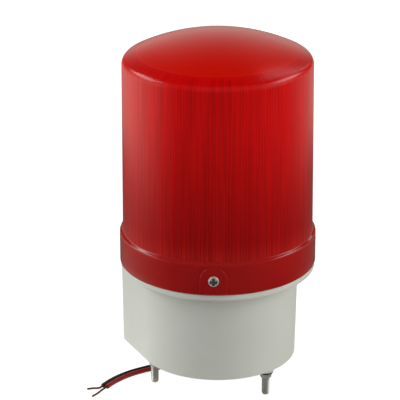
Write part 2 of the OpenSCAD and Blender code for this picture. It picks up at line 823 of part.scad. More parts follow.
// Half of the mirror's outline as a solid of revolution, pushed back by a thickness
module dish(back, rim) {
    steps = 9;
    depth = mirror_r * mirror_r / (4 * mirror_focus);
    rotate_extrude()
        polygon(concat(
            [for (k = [0:steps]) let (r = mirror_r * k / steps) [r, r * r / (4 * mirror_focus) - back]],
            [[mirror_r + rim, depth - back], [mirror_r + rim, depth], [0, depth]]));
}

// Bright parabolic mirror with two screw bosses and a slot for the lamp holder
module reflector() {
    depth = mirror_r * mirror_r / (4 * mirror_focus);
    rim = 0.8;
    boss_over = 3;
    thread_over = 1;
    slot_past = 2;
    color([0.9, 0.9, 0.92])
    translate([0, mirror_focus, lamp_z])
        rotate([90, 0, 0])
            difference() {
                union() {
                    dish(mirror_t, rim);
                    for (side = [-1, 1])
                        translate([0, side * mirror_screw_span / 2, mirror_focus - upright_y])
                            cylinder(h = upright_y - mirror_focus + boss_over, r = mirror_boss_r);
                }
                dish_hollow(depth);
                for (side = [-1, 1])
                    translate([0, side * mirror_screw_span / 2, mirror_focus - upright_y - cut])
                        cylinder(h = upright_y - mirror_focus + cut + thread_over, r = mirror_screw_r + slip_gap);
                translate([-slot_w / 2, -mirror_r - slot_past, -mirror_focus])
                    cube([slot_w, mirror_r + slot_past - slot_top, 3 * mirror_focus]);
            }
}

// Hollow of the mirror, cut past its rim
module dish_hollow(depth) {
    steps = 9;
    rotate_extrude()
        polygon(concat(
            [for (k = [0:steps]) let (r = mirror_r * k / steps) [r, r * r / (4 * mirror_focus)]],
            [[mirror_r, depth + cut], [0, depth + cut]]));
}

// Screws that hold the mirror to the upright
module reflector_screws() {
    thread_l = 3.5;
    color([0.75, 0.74, 0.7])
    mirror_screw_places()
        pan_screw(mirror_screw_r, upright_t + thread_l, mirror_screw_head_r, mirror_screw_head_h);
}

// Fixed pin that the idler runs on
module idler_pin() {
    pin_over = 2;
    color([0.7, 0.7, 0.72])
    translate([idler_at[0], idler_at[1], lens_z])
        cylinder(h = small_z + small_face + pin_over - lens_z, r = idler_pin_r);
}

// Idler: a large and a small gear in one moulding
module idler_gear() {
    hub = 3.4;
    color([0.88, 0.88, 0.84])
    translate([idler_at[0], idler_at[1], 0])
        difference() {
            union() {
                translate([0, 0, large_z])
                    spur(fast_module, idler_large_teeth, large_face);
                translate([0, 0, small_z])
                    rotate([0, 0, idler_turn])
                        spur(slow_module, idler_small_teeth, small_face);
                translate([0, 0, deck_z + end_gap])
                    cylinder(h = large_z - deck_z - end_gap, r = hub);
            }
            translate([0, 0, deck_z])
                cylinder(h = small_z + small_face - deck_z + cut, r = idler_pin_r + run_gap);
        }
}

// Clip that keeps the idler on its pin
module idler_clip() {
    clip_t = 0.6;
    clip_w = 1.7;
    color([0.5, 0.5, 0.52])
    translate([idler_at[0], idler_at[1], small_z + small_face + end_gap])
        difference() {
            cylinder(h = clip_t, r = idler_pin_r + clip_w);
            translate([0, 0, -cut])
                cylinder(h = clip_t + 2 * cut, r = idler_pin_r);
        }
}

// Motor case with its nose through the deck
module motor() {
    bore_l = 8;
    rear_r = 4;
    rear_h = 2;
    color([0.62, 0.63, 0.65])
    translate([motor_at[0], motor_at[1], 0])
        difference() {
            union() {
                translate([0, 0, lens_z - motor_h])
                    cylinder(h = motor_h, r = motor_r);
                translate([0, 0, lens_z])
                    cylinder(h = deck_t, r = motor_nose_r);
                translate([0, 0, lens_z - motor_h - rear_h])
                    cylinder(h = rear_h, r = rear_r);
            }
            translate([0, 0, deck_z - bore_l])
                cylinder(h = bore_l + cut, r = shaft_r + run_gap);
            translate(-motor_at)
                motor_screw_places()
                    translate([0, 0, lens_z - motor_screw_l])
                        cylinder(h = motor_screw_l + cut, r = motor_screw_r + slip_gap);
        }
}

// Screws that hold the motor to the deck
module motor_screws() {
    color([0.75, 0.74, 0.7])
    motor_screw_places()
        translate([0, 0, deck_z])
            pan_screw(motor_screw_r, motor_screw_l, motor_screw_head_r, motor_screw_head_h);
}

// Turning shaft of the motor
module motor_shaft() {
    buried = 7;
    shaft_over = 0.7;
    color([0.75, 0.75, 0.77])
    translate([motor_at[0], motor_at[1], deck_z - buried])
        cylinder(h = buried + small_z - deck_z + shaft_over, r = shaft_r);
}

// Pinion pressed on the motor's shaft
module pinion() {
    pinion_drop = 0.6;
    pinion_face = large_face + 1;
    color([0.8, 0.68, 0.4])
    translate([motor_at[0], motor_at[1], large_z - pinion_drop])
        difference() {
            rotate([0, 0, pinion_turn])
                spur(fast_module, pinion_teeth, pinion_face);
            translate([0, 0, -cut])
                cylinder(h = pinion_face + 2 * cut, r = shaft_r);
        }
}

// Rubber bush in the floor where the cable comes out
module cable_bush() {
    color([0.08, 0.08, 0.08])
    translate([bush_at[0], bush_at[1], base_z - bush_lip]) {
        cylinder(h = bush_lip, r = bush_r);
        cylinder(h = floor_t + 2 * bush_lip, r = bush_body_r);
        translate([0, 0, bush_lip + floor_t])
            cylinder(h = bush_lip, r = bush_r);
    }
}

// Black core of the cable, on the far side
module black_core() {
    path = shifted(route, core_shift);
    color([0.03, 0.03, 0.03])
    tube(path, core_d / 2, function (k) level_side(path, k));
}

// Red core of the cable, on the near side
module red_core() {
    path = shifted(route, -core_shift);
    color([0.6, 0.03, 0.05])
    tube(path, core_d / 2, function (k) level_side(path, k));
}

// Bare end of the black core
module black_wire() {
    path = wire_route(shifted(route, core_shift), black_wire_lie);
    color([0.35, 0.2, 0.14])
    tube(path, wire_d / 2, function (k) level_side(path, k));
}

// Bare end of the red core
module red_wire() {
    path = wire_route(shifted(route, -core_shift), red_wire_lie);
    color([0.35, 0.2, 0.14])
    tube(path, wire_d / 2, function (k) level_side(path, k));
}

lens();
lens_screws();
lens_seal();
base_housing();
mounting_bolts();
rubber_washers();
mounting_nuts();
deck_plate();
deck_screws();
lamp_post();
post_screws();
lamp_holder();
bulb_cap();
bulb_glass();
retaining_ring();
turntable_gear();
reflector();
reflector_screws();
idler_pin();
idler_gear();
idler_clip();
motor();
motor_screws();
motor_shaft();
pinion();
cable_bush();
black_core();
red_core();
black_wire();
red_wire();
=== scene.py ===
"""Rotating warning beacon: a red ribbed lens on a pale base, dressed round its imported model."""

from __future__ import annotations

import logging
import math
from dataclasses import dataclass, field
from enum import Enum
from typing import Callable, Iterable, Sequence

import bmesh
import bpy
from mathutils import Matrix, Vector


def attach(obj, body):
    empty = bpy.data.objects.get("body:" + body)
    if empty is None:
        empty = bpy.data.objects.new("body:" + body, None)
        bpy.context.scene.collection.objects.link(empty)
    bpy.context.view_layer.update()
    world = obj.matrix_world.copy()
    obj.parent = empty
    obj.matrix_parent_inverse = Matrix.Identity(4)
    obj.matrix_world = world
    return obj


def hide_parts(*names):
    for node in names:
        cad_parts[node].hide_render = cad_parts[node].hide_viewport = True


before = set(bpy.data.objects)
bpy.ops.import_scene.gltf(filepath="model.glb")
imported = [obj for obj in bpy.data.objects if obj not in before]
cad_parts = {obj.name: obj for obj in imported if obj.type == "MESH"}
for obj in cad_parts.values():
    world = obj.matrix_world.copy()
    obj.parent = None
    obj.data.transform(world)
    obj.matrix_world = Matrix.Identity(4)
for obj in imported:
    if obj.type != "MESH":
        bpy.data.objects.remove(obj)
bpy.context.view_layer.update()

LOG = logging.getLogger("beacon")
HOUSING = "housing"
Colour = tuple[float, float, float]
Span = tuple[float, float]
Profile = list[tuple[float, float]]
Spots = list[tuple[float, float]]
MeshPart = bmesh.types.BMVert | bmesh.types.BMEdge
Socket = bpy.types.NodeSocket

# Sizes that several pieces share, in metres and degrees
MOUNT_Z = 0.013
BASE_Z = 0.0155
LENS_Z = 0.0665
COLLAR_R = 0.050
PAD_PROUD = 0.0006
SCREW_CLOCK = -118.5
SCREW_RISE = 0.008
STUD_CLOCK = -70.0
STUD_CIRCLE_R = 0.034
BUSH_AT = (-0.014, 0.019)
BUSH_LIP = 0.0015

# Fineness of the meshes
START_SIZE = 0.002
MERGE_GAP = 1e-6
CREASE = 32.0
SMALL_RING_STEPS = 48
EDGE_STEPS = 4
COARSE_EDGE_STEPS = 3

# Number of lens screws, studs and pillars, each set round the axis
RING_COUNT = 3

# Sockets of a Mix node that mixes colours
MIX_COLOURS = slice(6, 8)
MIX_RESULT = 2

# Ends of a share that rises or falls, plain colours, the way up, the origin and a right angle in degrees
RISE: Span = (0.0, 1.0)
FALL: Span = (1.0, 0.0)
WHITE: Colour = (1.0, 1.0, 1.0)
BLACK: Colour = (0.0, 0.0, 0.0)
UP = Vector((0.0, 0.0, 1.0))
ORIGIN = (0.0, 0.0, 0.0)
QUARTER = 90.0


class Slot(Enum):
    """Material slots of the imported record."""

    LENS = "lens_red"
    BASE = "base_white"
    ZINC = "zinc"
    SCREW = "screw_steel"
    RUBBER = "black_rubber"
    BLACK_SHEATH = "black_sheath"
    RED_SHEATH = "red_sheath"
    COPPER = "copper"


class Grain(Enum):
    """Directions in which a metal's fine marks run."""

    EVEN = (1.0, 1.0, 1.0)
    TURNED = (1.0, 1.0, 14.0)
    DRAWN = (1.0, 1.0, 0.06)


class Corner(Enum):
    """Corners of a profile: the angle where a rounding starts, and its centre's way in radius and height."""

    LOW_OUTER = (-90.0, -1.0, 1.0)
    TOP_OUTER = (0.0, -1.0, -1.0)
    TOP_INNER = (90.0, 1.0, -1.0)


# Modelling by hand


def active_piece() -> bpy.types.Object | None:
    """Object that is active now."""
    return bpy.context.view_layer.objects.active


def leave_edit() -> None:
    """Goes back to object mode."""
    bpy.ops.object.mode_set(mode="OBJECT")


def clear_selection() -> None:
    """Leaves edit mode and deselects every object."""
    active = active_piece()
    if active is not None and active.mode != "OBJECT":
        leave_edit()
    bpy.ops.object.select_all(action="DESELECT")


def pick(piece: bpy.types.Object) -> None:
    """Makes one object the only selected one, and the active one.

    Args:
        piece: Object to pick.
    """
    clear_selection()
    piece.select_set(True)
    bpy.context.view_layer.objects.active = piece


def select_all() -> None:
    """Selects the whole mesh in edit mode."""
    bpy.ops.mesh.select_all(action="SELECT")


def edit(piece: bpy.types.Object) -> None:
    """Opens a piece in edit mode, with all of it selected.

    Args:
        piece: Object to open.
    """
    pick(piece)
    bpy.ops.object.mode_set(mode="EDIT")
    select_all()


def apply_place() -> None:
    """Moves the selected object's place, turn and size into its mesh."""
    bpy.ops.object.transform_apply(location=True, rotation=True, scale=True)


def extrude(way: Vector) -> None:
    """Pulls out what is selected in edit mode."""
    bpy.ops.mesh.extrude_region_move(TRANSFORM_OT_translate={"value": way})


def widen(share: float) -> None:
    """Moves what is selected in edit mode away from the upright axis, or in to it for a share under one."""
    bpy.ops.transform.resize(value=(share, share, 1.0), center_override=ORIGIN)


def drawn_line(name: str, points: Sequence[Vector]) -> bpy.types.Object:
    """Draws a line of vertices: one vertex that is pulled on from point to point.

    Args:
        name: Name of the new object.
        points: Places that the line passes through.

    Returns:
        The new object, in edit mode, with its last vertex selected.
    """
    clear_selection()
    bpy.ops.mesh.primitive_plane_add(size=START_SIZE, location=points[0])
    piece = active_piece()
    piece.name = name
    piece.data.name = name
    apply_place()
    edit(piece)
    bpy.ops.mesh.select_mode(type="VERT")
    bpy.ops.mesh.merge(type="CENTER")
    for near, far in zip(points, points[1:]):
        extrude(far - near)
    return piece


def select_where(piece: bpy.types.Object, kind: str, test: Callable[[MeshPart], bool]) -> None:
    """Selects the parts of a piece in edit mode whose place passes a test.

    Args:
        piece: Object in edit mode.
        kind: Which parts to test: verts or edges.
        test: Takes one part and says whether it is selected.
    """
    bpy.ops.mesh.select_all(action="DESELECT")
    bpy.ops.mesh.select_mode(type={"verts": "VERT", "edges": "EDGE"}[kind])
    mesh = bmesh.from_edit_mesh(piece.data)
    for part in getattr(mesh, kind):
        part.select_set(test(part))
    mesh.select_flush_mode()
    bmesh.update_edit_mesh(piece.data)


def close_skin() -> None:
    """Merges the doubles of the mesh in edit mode and turns its faces outward."""
    select_all()
    bpy.ops.mesh.remove_doubles(threshold=MERGE_GAP)
    bpy.ops.mesh.normals_make_consistent(inside=False)


def smooth(piece: bpy.types.Object, degrees: float = CREASE) -> None:
    """Shades a piece smooth, apart from the edges sharper than an angle."""
    pick(piece)
    bpy.ops.object.shade_smooth_by_angle(angle=math.radians(degrees))


def turned(name: str, profile: Profile, steps: int = SMALL_RING_STEPS) -> bpy.types.Object:
    """Turns a profile about the upright axis.

    Args:
        name: Name of the new object.
        profile: Radius and height of each point.
        steps: Number of steps in a full turn.

    Returns:
        The new object, in object mode.
    """
    piece = drawn_line(name, [Vector((r, 0.0, z)) for r, z in profile])
    select_all()
    bpy.ops.mesh.spin(steps=steps, angle=math.tau, center=ORIGIN, axis=UP)
    close_skin()
    leave_edit()
    smooth(piece)
    return piece


def place(piece: bpy.types.Object, matrix: Matrix) -> bpy.types.Object:
    """Moves a piece and applies the move, so that its place is in its mesh.

    Args:
        piece: Object to move.
        matrix: Where it goes.

    Returns:
        The same object.
    """
    pick(piece)
    piece.matrix_world = matrix
    apply_place()
    return piece


def copy_of(piece: bpy.types.Object) -> bpy.types.Object:
    """Copies a piece.

    Args:
        piece: Object to copy.

    Returns:
        The copy, with a mesh of its own.
    """
    pick(piece)
    bpy.ops.object.duplicate(linked=False)
    return active_piece()


def join(pieces: Sequence[bpy.types.Object]) -> bpy.types.Object:
    """Joins pieces into the first of them.

    Args:
        pieces: Objects to join.

    Returns:
        The first object, which holds all their meshes.
    """
    pick(pieces[0])
    for piece in pieces[1:]:
        piece.select_set(True)
    bpy.ops.object.join()
    return pieces[0]


def ring_of(piece: bpy.types.Object) -> bpy.types.Object:
    """Repeats a piece evenly about the lens axis and joins the copies.

    Args:
        piece: Object to repeat, at its first place.

    Returns:
        The same object, joined by its copies.
    """
    copies = [piece]
    for k in range(1, RING_COUNT):
        copies.append(place(copy_of(piece), Matrix.Rotation(math.tau * k / RING_COUNT, 4, "Z")))
    return join(copies)


def apply_modifier(piece: bpy.types.Object, kind: str, **values: object) -> None:
    """Adds a modifier to a piece, sets it and applies it.

    Args:
        piece: Object that the modifier works on.
        kind: Blender's name for the modifier.
        values: Settings of the modifier.
    """
    pick(piece)
    modifier = piece.modifiers.new(kind.lower(), kind)
    for key, value in values.items():
        setattr(modifier, key, value)
    bpy.ops.object.modifier_apply(modifier=modifier.name)


def arc(centre: tuple[float, float], radius: float, start: float, end: float, steps: int) -> Profile:
    """Points of an arc in a profile, both ends included.

    Args:
        centre: Radius and height of the arc's centre.
        radius: Radius of the arc.
        start: First angle in degrees, from straight outward.
        end: Last angle in degrees.
        steps: Number of steps between them.

    Returns:
        The arc's points in order.
    """
    angles = [math.radians(start + (end - start) * k / steps) for k in range(steps + 1)]
    return [(centre[0] + radius * math.cos(a), centre[1] + radius * math.sin(a)) for a in angles]


def rounding(corner: Corner, r: float, z: float, soft: float, steps: int = EDGE_STEPS) -> Profile:
    """Quarter arc that rounds one corner of a profile.

    Args:
        corner: Which corner it is.
        r: Radius of the sharp corner.
        z: Height of the sharp corner.
        soft: Radius of the rounding.
        steps: Number of steps along it.

    Returns:
        The arc's points in order.
    """
    start, side, rise = corner.value
    return arc((r + side * soft, z + rise * soft), soft, start, start + QUARTER, steps)


def on_clock(clock: float, radius: float, height: float = 0.0) -> Matrix:
    """Place at an angle about the lens axis, turned with it."""
    return Matrix.Rotation(math.radians(clock), 4, "Z") @ Matrix.Translation((radius, 0.0, height))


def outward(clock: float, radius: float, height: float) -> Matrix:
    """Place on the side of the beacon, with its own z pointing outward and its y up."""
    face = Matrix(((0, 0, 1, 0), (1, 0, 0, 0), (0, 1, 0, 0), (0, 0, 0, 1)))
    return on_clock(clock, radius, height) @ face


# Finishes


class Nodes:
    """Short ways to add nodes to a tree."""

    def __init__(self, tree: bpy.types.NodeTree) -> None:
        """Takes the tree that the nodes go into."""
        self.tree = tree

    def feed(self, target: Socket, value: object) -> None:
        """Links a socket to an input, or sets the input to a value.

        Args:
            target: Input to feed.
            value: Socket to link it to, or its new value.
        """
        if isinstance(value, Socket):
            self.tree.links.new(value, target)
        else:
            target.default_value = value

    def node(self, kind: str, **inputs: object) -> bpy.types.Node:
        """Adds a node and sets or links its inputs.

        Args:
            kind: Blender's name for the node, without its prefix.
            inputs: Values or sockets for its inputs, named with underscores for spaces.

        Returns:
            The new node.
        """
        made = self.tree.nodes.new("ShaderNode" + kind)
        for key, value in inputs.items():
            self.feed(made.inputs[key.replace("_", " ")], value)
        return made

    def math(self, operation: str, first: object, second: object = 0.0) -> Socket:
        """Adds a Math node.

        Args:
            operation: Blender's name for the operation.
            first: First value or socket.
            second: Second value or socket, where the operation has one.

        Returns:
            Its result.
        """
        made = self.node("Math")
        made.operation = operation
        self.feed(made.inputs[0], first)
        self.feed(made.inputs[1], second)
        return made.outputs[0]

    def times(self, first: object, second: object) -> Socket:
        """Multiplies two values or sockets."""
        return self.math("MULTIPLY", first, second)

    def vector(self, operation: str, first: object, second: object = ORIGIN) -> Socket:
        """Adds a Vector Math node.

        Args:
            operation: Blender's name for the operation.
            first: First vector or socket.
            second: Second vector or socket, where the operation has one.

        Returns:
            Its number, for a length or a dot product, or its vector.
        """
        made = self.node("VectorMath")
        made.operation = operation
        self.feed(made.inputs[0], first)
        self.feed(made.inputs[1], second)
        return made.outputs["Value" if operation in ("LENGTH", "DOT_PRODUCT") else "Vector"]

    def ramp(self, source: Socket, span: Span, to: Span) -> Socket:
        """Maps a range smoothly onto another.

        Args:
            source: Socket to map.
            span: Ends of its range.
            to: Values at those ends.

        Returns:
            The mapped socket.
        """
        made = self.node("MapRange", Value=source, From_Min=span[0], From_Max=span[1])
        self.feed(made.inputs["To Min"], to[0])
        self.feed(made.inputs["To Max"], to[1])
        made.interpolation_type = "SMOOTHSTEP"
        return made.outputs[0]

    def mix(self, share: Socket, first: object, second: object) -> Socket:
        """Mixes two colours.

        Args:
            share: How much of the second colour there is.
            first: First colour or socket.
            second: Second colour or socket.

        Returns:
            The mixed colour.
        """
        made = self.node("Mix")
        made.data_type = "RGBA"
        self.feed(made.inputs[0], share)
        for target, value in zip(made.inputs[MIX_COLOURS], (first, second)):
            self.feed(target, value if isinstance(value, Socket) else (*value, 1.0))
        return made.outputs[MIX_RESULT]


class Shading(Nodes):
    """A new node material with one Principled shader."""

    def __init__(self, name: str) -> None:
        """Starts a material.

        Args:
            name: Name of the material.
        """
        self.material = bpy.data.materials.new(name)
        self.material.use_nodes = True
        super().__init__(self.material.node_tree)
        self.shader = next(n for n in self.tree.nodes if n.type == "BSDF_PRINCIPLED")
        self.coords = self.node("TexCoord").outputs["Object"]

    def set(self, **values: object) -> None:
        """Sets the shader's own sockets, named with underscores for spaces."""
        for key, value in values.items():
            self.shader.inputs[key.replace("_", " ")].default_value = value

    def drive(self, source: Socket, name: str) -> None:
        """Joins a socket to one of the shader's inputs."""
        self.feed(self.shader.inputs[name], source)

    def noise(self, scale: float, detail: float, grain: Grain = Grain.EVEN) -> Socket:
        """Adds noise on the piece's own coordinates and gives its strength."""
        spread = self.node("Mapping", Vector=self.coords, Scale=grain.value)
        return self.node("TexNoise", Vector=spread.outputs[0], Scale=scale, Detail=detail).outputs[0]

    def bump(self, height: Socket, strength: float, depth: float) -> None:
        """Lifts the surface by a height, as fine relief."""
        made = self.node("Bump", Height=height, Strength=strength, Distance=depth)
        self.drive(made.outputs[0], "Normal")

    def roughen(self, source: Socket, span: Span, roughness: float, spread: float) -> None:
        """Lets the roughness vary about its mean, by a share of it."""
        ends = (roughness * (1 - spread), roughness * (1 + spread))
        self.drive(self.ramp(source, span, ends), "Roughness")


@dataclass(frozen=True)
class Moulding:
    """Plastic or rubber with the fine relief that its mould leaves."""

    name: str
    colour: Colour
    shade: Colour
    roughness: float
    relief: float = 0.12
    ior: float = 1.46
    mottle: float = 45.0
    mottle_detail: float = 4.0
    mottle_span: Span = (0.3, 0.7)
    grain: float = 2600.0
    grain_detail: float = 2.0
    grain_span: Span = (0.2, 0.8)
    roughness_spread: float = 0.14
    relief_depth: float = 0.00006

    def material(self) -> bpy.types.Material:
        """Makes the material.

        Returns:
            The new material.
        """
        shading = Shading(self.name)
        mottle = shading.ramp(shading.noise(self.mottle, self.mottle_detail), self.mottle_span, RISE)
        fine = shading.noise(self.grain, self.grain_detail)
        shading.drive(shading.mix(mottle, self.colour, self.shade), "Base Color")
        shading.roughen(fine, self.grain_span, self.roughness, self.roughness_spread)
        shading.bump(fine, self.relief, self.relief_depth)
        shading.set(IOR=self.ior)
        return shading.material


@dataclass(frozen=True)
class TintedLens:
    """Clear red plastic with fine upright ribs inside and plain on its crown, with painted shade that darkens
    it towards its foot and a painted highlight where its ribs begin.
    """

    name: str = "lens_red_plastic"
    crown: Colour = (0.96, 0.007, 0.001)
    wall: Colour = (0.95, 0.001, 0.001)
    # Painted shade: the wall's colour deepens to this towards the foot, where the mechanism stands behind it;
    # the skirt just above the collar is a little less dark
    painted_foot_shade: Colour = (0.57, 0.002, 0.002)
    skirt: Colour = (0.68, 0.014, 0.010)
    # Painted highlight: a brighter, more orange band where the ribs begin round the crown
    painted_rib_top_highlight: Colour = (1.0, 0.05, 0.02)
    rim_share: float = 2.5
    streak_depth: float = 0.22
    # Painted shade: how much deeper the rib lines get towards the foot
    foot_depth: float = 0.12
    streak_scale: float = 44.0
    streak_detail: float = 3.0
    streak_drift: float = 0.45
    rib_count: int = 216
    rib_share: float = 0.10
    rib_span: Span = (0.34, 0.66)
    crown_r: float = 0.0395
    rib_r: float = 0.0410
    streak_r: float = 0.0440
    foot: float = 0.088
    high: float = 0.160
    skirt_h: Span = (0.081, 0.094)
    ragged: float = 0.03
    roughness: float = 0.22
    relief: float = 0.05
    relief_depth: float = 0.0003
    ior: float = 1.49
    clearness: float = 0.08

    def streaks(self, shading: Shading, flat: Socket, z: Socket) -> Socket:
        """Noise that runs down the wall in streaks.

        Args:
            shading: Material that the nodes go into.
            flat: Place from the lens axis, level.
            z: Height of the place.

        Returns:
            The noise's strength.
        """
        drift = shading.node("CombineXYZ", Z=shading.times(z, self.streak_drift)).outputs[0]
        way = shading.vector("ADD", shading.vector("NORMALIZE", flat), drift)
        made = shading.node("TexNoise", Vector=way, Scale=self.streak_scale, Detail=self.streak_detail)
        return made.outputs[0]

    def material(self) -> bpy.types.Material:
        """Makes the material.

        Returns:
            The new material.
        """
        shading = Shading(self.name)
        x, y, z = shading.node("SeparateXYZ", Vector=shading.coords).outputs
        flat = shading.node("CombineXYZ", X=x, Y=y).outputs[0]
        reach = shading.vector("LENGTH", flat)
        uneven = self.streaks(shading, flat, z)
        turn = shading.math("ARCTAN2", y, x)
        wave = shading.math("SINE", shading.times(turn, float(self.rib_count)))
        ribs = shading.math("ADD", shading.times(wave, self.rib_share), uneven)
        ribbed = shading.ramp(reach, (self.crown_r, self.rib_r), RISE)
        fade_in = shading.ramp(reach, (self.crown_r, self.streak_r), RISE)
        lines = shading.times(shading.ramp(ribs, self.rib_span, RISE), fade_in)
        # Painted shade: the wall darkens towards its foot, a little less so just above the collar, and its
        # rib lines deepen there too
        level = shading.math("ADD", z, shading.times(uneven, self.ragged))
        low = shading.ramp(level, (self.foot + self.ragged / 2, self.high + self.ragged / 2), FALL)
        foot = shading.mix(shading.ramp(z, self.skirt_h, FALL), self.painted_foot_shade, self.skirt)
        plain = shading.mix(ribbed, self.crown, shading.mix(low, self.wall, foot))
        # Painted highlight: a brighter band, broken up by the streak noise, where the ribs begin round the
        # crown
        begun = shading.times(ribbed, shading.math("SUBTRACT", self.rim_share, ribbed))
        highlight_band = shading.times(begun, shading.math("SUBTRACT", 1.0, ribbed))
        body = shading.mix(shading.times(highlight_band, uneven), plain, self.painted_rib_top_highlight)
        depth = shading.math("ADD", shading.times(low, self.foot_depth), self.streak_depth)
        shading.drive(shading.mix(shading.times(lines, depth), body, BLACK), "Base Color")
        shading.bump(lines, self.relief, self.relief_depth)
        shading.set(Roughness=self.roughness, IOR=self.ior, Transmission_Weight=self.clearness)
        return shading.material


@dataclass(frozen=True)
class Metal:
    """Metal with fine marks that run one way."""

    name: str
    colour: Colour
    roughness: float
    grain: Grain = Grain.EVEN
    dull: float = 0.75
    metallic: float = 1.0
    marks: float = 900.0
    marks_detail: float = 4.0
    marks_span: Span = (0.2, 0.8)
    cloud: float = 140.0
    cloud_detail: float = 3.0
    cloud_span: Span = (0.35, 0.7)
    roughness_spread: float = 0.3
    relief: float = 0.08
    relief_depth: float = 0.00005

    def material(self) -> bpy.types.Material:
        """Makes the material.

        Returns:
            The new material.
        """
        shading = Shading(self.name)
        marks = shading.noise(self.marks, self.marks_detail, self.grain)
        cloud = shading.ramp(shading.noise(self.cloud, self.cloud_detail), self.cloud_span, RISE)
        worn = tuple(part * self.dull for part in self.colour)
        shading.drive(shading.mix(cloud, self.colour, worn), "Base Color")
        shading.roughen(marks, self.marks_span, self.roughness, self.roughness_spread)
        shading.bump(marks, self.relief, self.relief_depth)
        shading.set(Metallic=self.metallic)
        return shading.material


@dataclass(frozen=True)
class ClearGlass:
    """Clear glass of the lamp, with a faint unevenness from blowing."""

    name: str = "lamp_clear_glass"
    roughness: float = 0.02
    ior: float = 1.5
    waves: float = 90.0
    waves_detail: float = 1.0
    relief: float = 0.03
    relief_depth: float = 0.0002

    def material(self) -> bpy.types.Material:
        """Makes the material.

        Returns:
            The new material.
        """
        shading = Shading(self.name)
        shading.bump(shading.noise(self.waves, self.waves_detail), self.relief, self.relief_depth)
        shading.set(Base_Color=(*WHITE, 1.0), Roughness=self.roughness, IOR=self.ior, Transmission_Weight=1.0)
        return shading.material


Finish = Moulding | TintedLens | Metal | ClearGlass

BASE_PLASTIC = Moulding("base_warm_white", (0.84, 0.85, 0.765), (0.815, 0.825, 0.735), roughness=0.42)
COLLAR_PLASTIC = Moulding("collar_red_plastic", (0.48, 0.014, 0.012), (0.44, 0.012, 0.011), roughness=0.09,
                          relief=0.02, ior=1.58)
BLACK_RUBBER = Moulding("washer_black_rubber", (0.012, 0.012, 0.012), (0.02, 0.02, 0.02), roughness=0.55,
                        relief=0.2)
BLACK_SHEATH = Moulding("black_cable_sheath", (0.010, 0.010, 0.013), (0.016, 0.015, 0.018), roughness=0.32,
                        relief=0.08)
RED_SHEATH = Moulding("red_cable_sheath", (0.50, 0.02, 0.025), (0.42, 0.014, 0.018), roughness=0.28,
                      relief=0.08)
GEAR_PLASTIC = Moulding("gear_white_plastic", (0.78, 0.78, 0.72), (0.72, 0.72, 0.66), roughness=0.4)
ZINC = Metal("zinc_plate", (0.80, 0.80, 0.75), roughness=0.36, dull=0.85, metallic=0.85)
SCREW_STEEL = Metal("screw_bright_steel", (0.92, 0.91, 0.86), roughness=0.30, dull=0.9, metallic=0.6)
# Painted shade: a darker steel on the faces inside each screw's cross recess, where shade falls
SCREW_RECESS_SHADE = Metal("screw_recess_painted_shade", (0.28, 0.29, 0.26), roughness=0.55, metallic=0.6)
DECK_STEEL = Metal("deck_sheet_steel", (0.62, 0.63, 0.64), roughness=0.32)
BRASS = Metal("turned_brass", (0.74, 0.56, 0.26), roughness=0.25, grain=Grain.TURNED)
LAMP_CAP = Metal("lamp_cap_nickel", (0.70, 0.68, 0.62), roughness=0.24, grain=Grain.TURNED)
MIRROR_METAL = Metal("mirror_bright_metal", (0.90, 0.90, 0.91), roughness=0.07, dull=0.97)
MOTOR_STEEL = Metal("motor_case_steel", (0.55, 0.56, 0.58), roughness=0.3, grain=Grain.DRAWN)
COPPER = Metal("bare_copper", (0.36, 0.16, 0.10), roughness=0.38, dull=0.6, marks=1600.0)


def dress(piece: bpy.types.Object, *finishes: Finish) -> None:
    """Gives a piece its finishes, one material slot each.

    Args:
        piece: Object to dress.
        finishes: Its finishes in the order of its slots.
    """
    piece.data.materials.clear()
    for finish in finishes:
        found = bpy.data.materials.get(finish.name)
        piece.data.materials.append(found or finish.material())


def settle(piece: bpy.types.Object, nodes: Iterable[str]) -> None:
    """Makes a finished piece ride on the housing and stand for its CAD nodes.

    Args:
        piece: Finished object.
        nodes: CAD nodes that the piece stands for.
    """
    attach(piece, HOUSING)
    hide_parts(*nodes)
    LOG.info("%s rides on %s", piece.name, HOUSING)


# Camera and cable, which come first


@dataclass
class PhotoCamera:
    """Camera that looks at the beacon as the photograph does."""

    azimuth: float = -26.2
    distance: float = 1.1
    height: float = 0.5300
    pitch: float = 21.46
    focal_px: float = 2324.8
    axis_px: float = 217.74
    frame_px: int = 400
    sensor_mm: float = 36.0

    def back(self) -> Vector:
        """Level direction from the camera past the beacon."""
        turn = math.radians(self.azimuth)
        return Vector((-math.sin(turn), math.cos(turn), 0.0))

    def build(self) -> bpy.types.Object:
        """Makes the camera and hands it to the scene.

        Returns:
            The camera.
        """
        data = bpy.data.cameras.new("photo_camera")
        data.sensor_width = self.sensor_mm
        data.lens = self.focal_px / self.frame_px * self.sensor_mm
        data.shift_x = (self.frame_px / 2 - self.axis_px) / self.frame_px
        camera = bpy.data.objects.new("photo_camera", data)
        bpy.context.scene.collection.objects.link(camera)
        camera.location = self.height * UP - self.distance * self.back()
        tilt = math.radians(self.pitch)
        aim = self.back() * math.cos(tilt) - UP * math.sin(tilt)
        camera.rotation_mode = "QUATERNION"
        camera.rotation_quaternion = aim.to_track_quat("-Z", "Y")
        bpy.context.scene.camera = camera
        LOG.info("camera at %s", tuple(round(x, 4) for x in camera.location))
        return camera


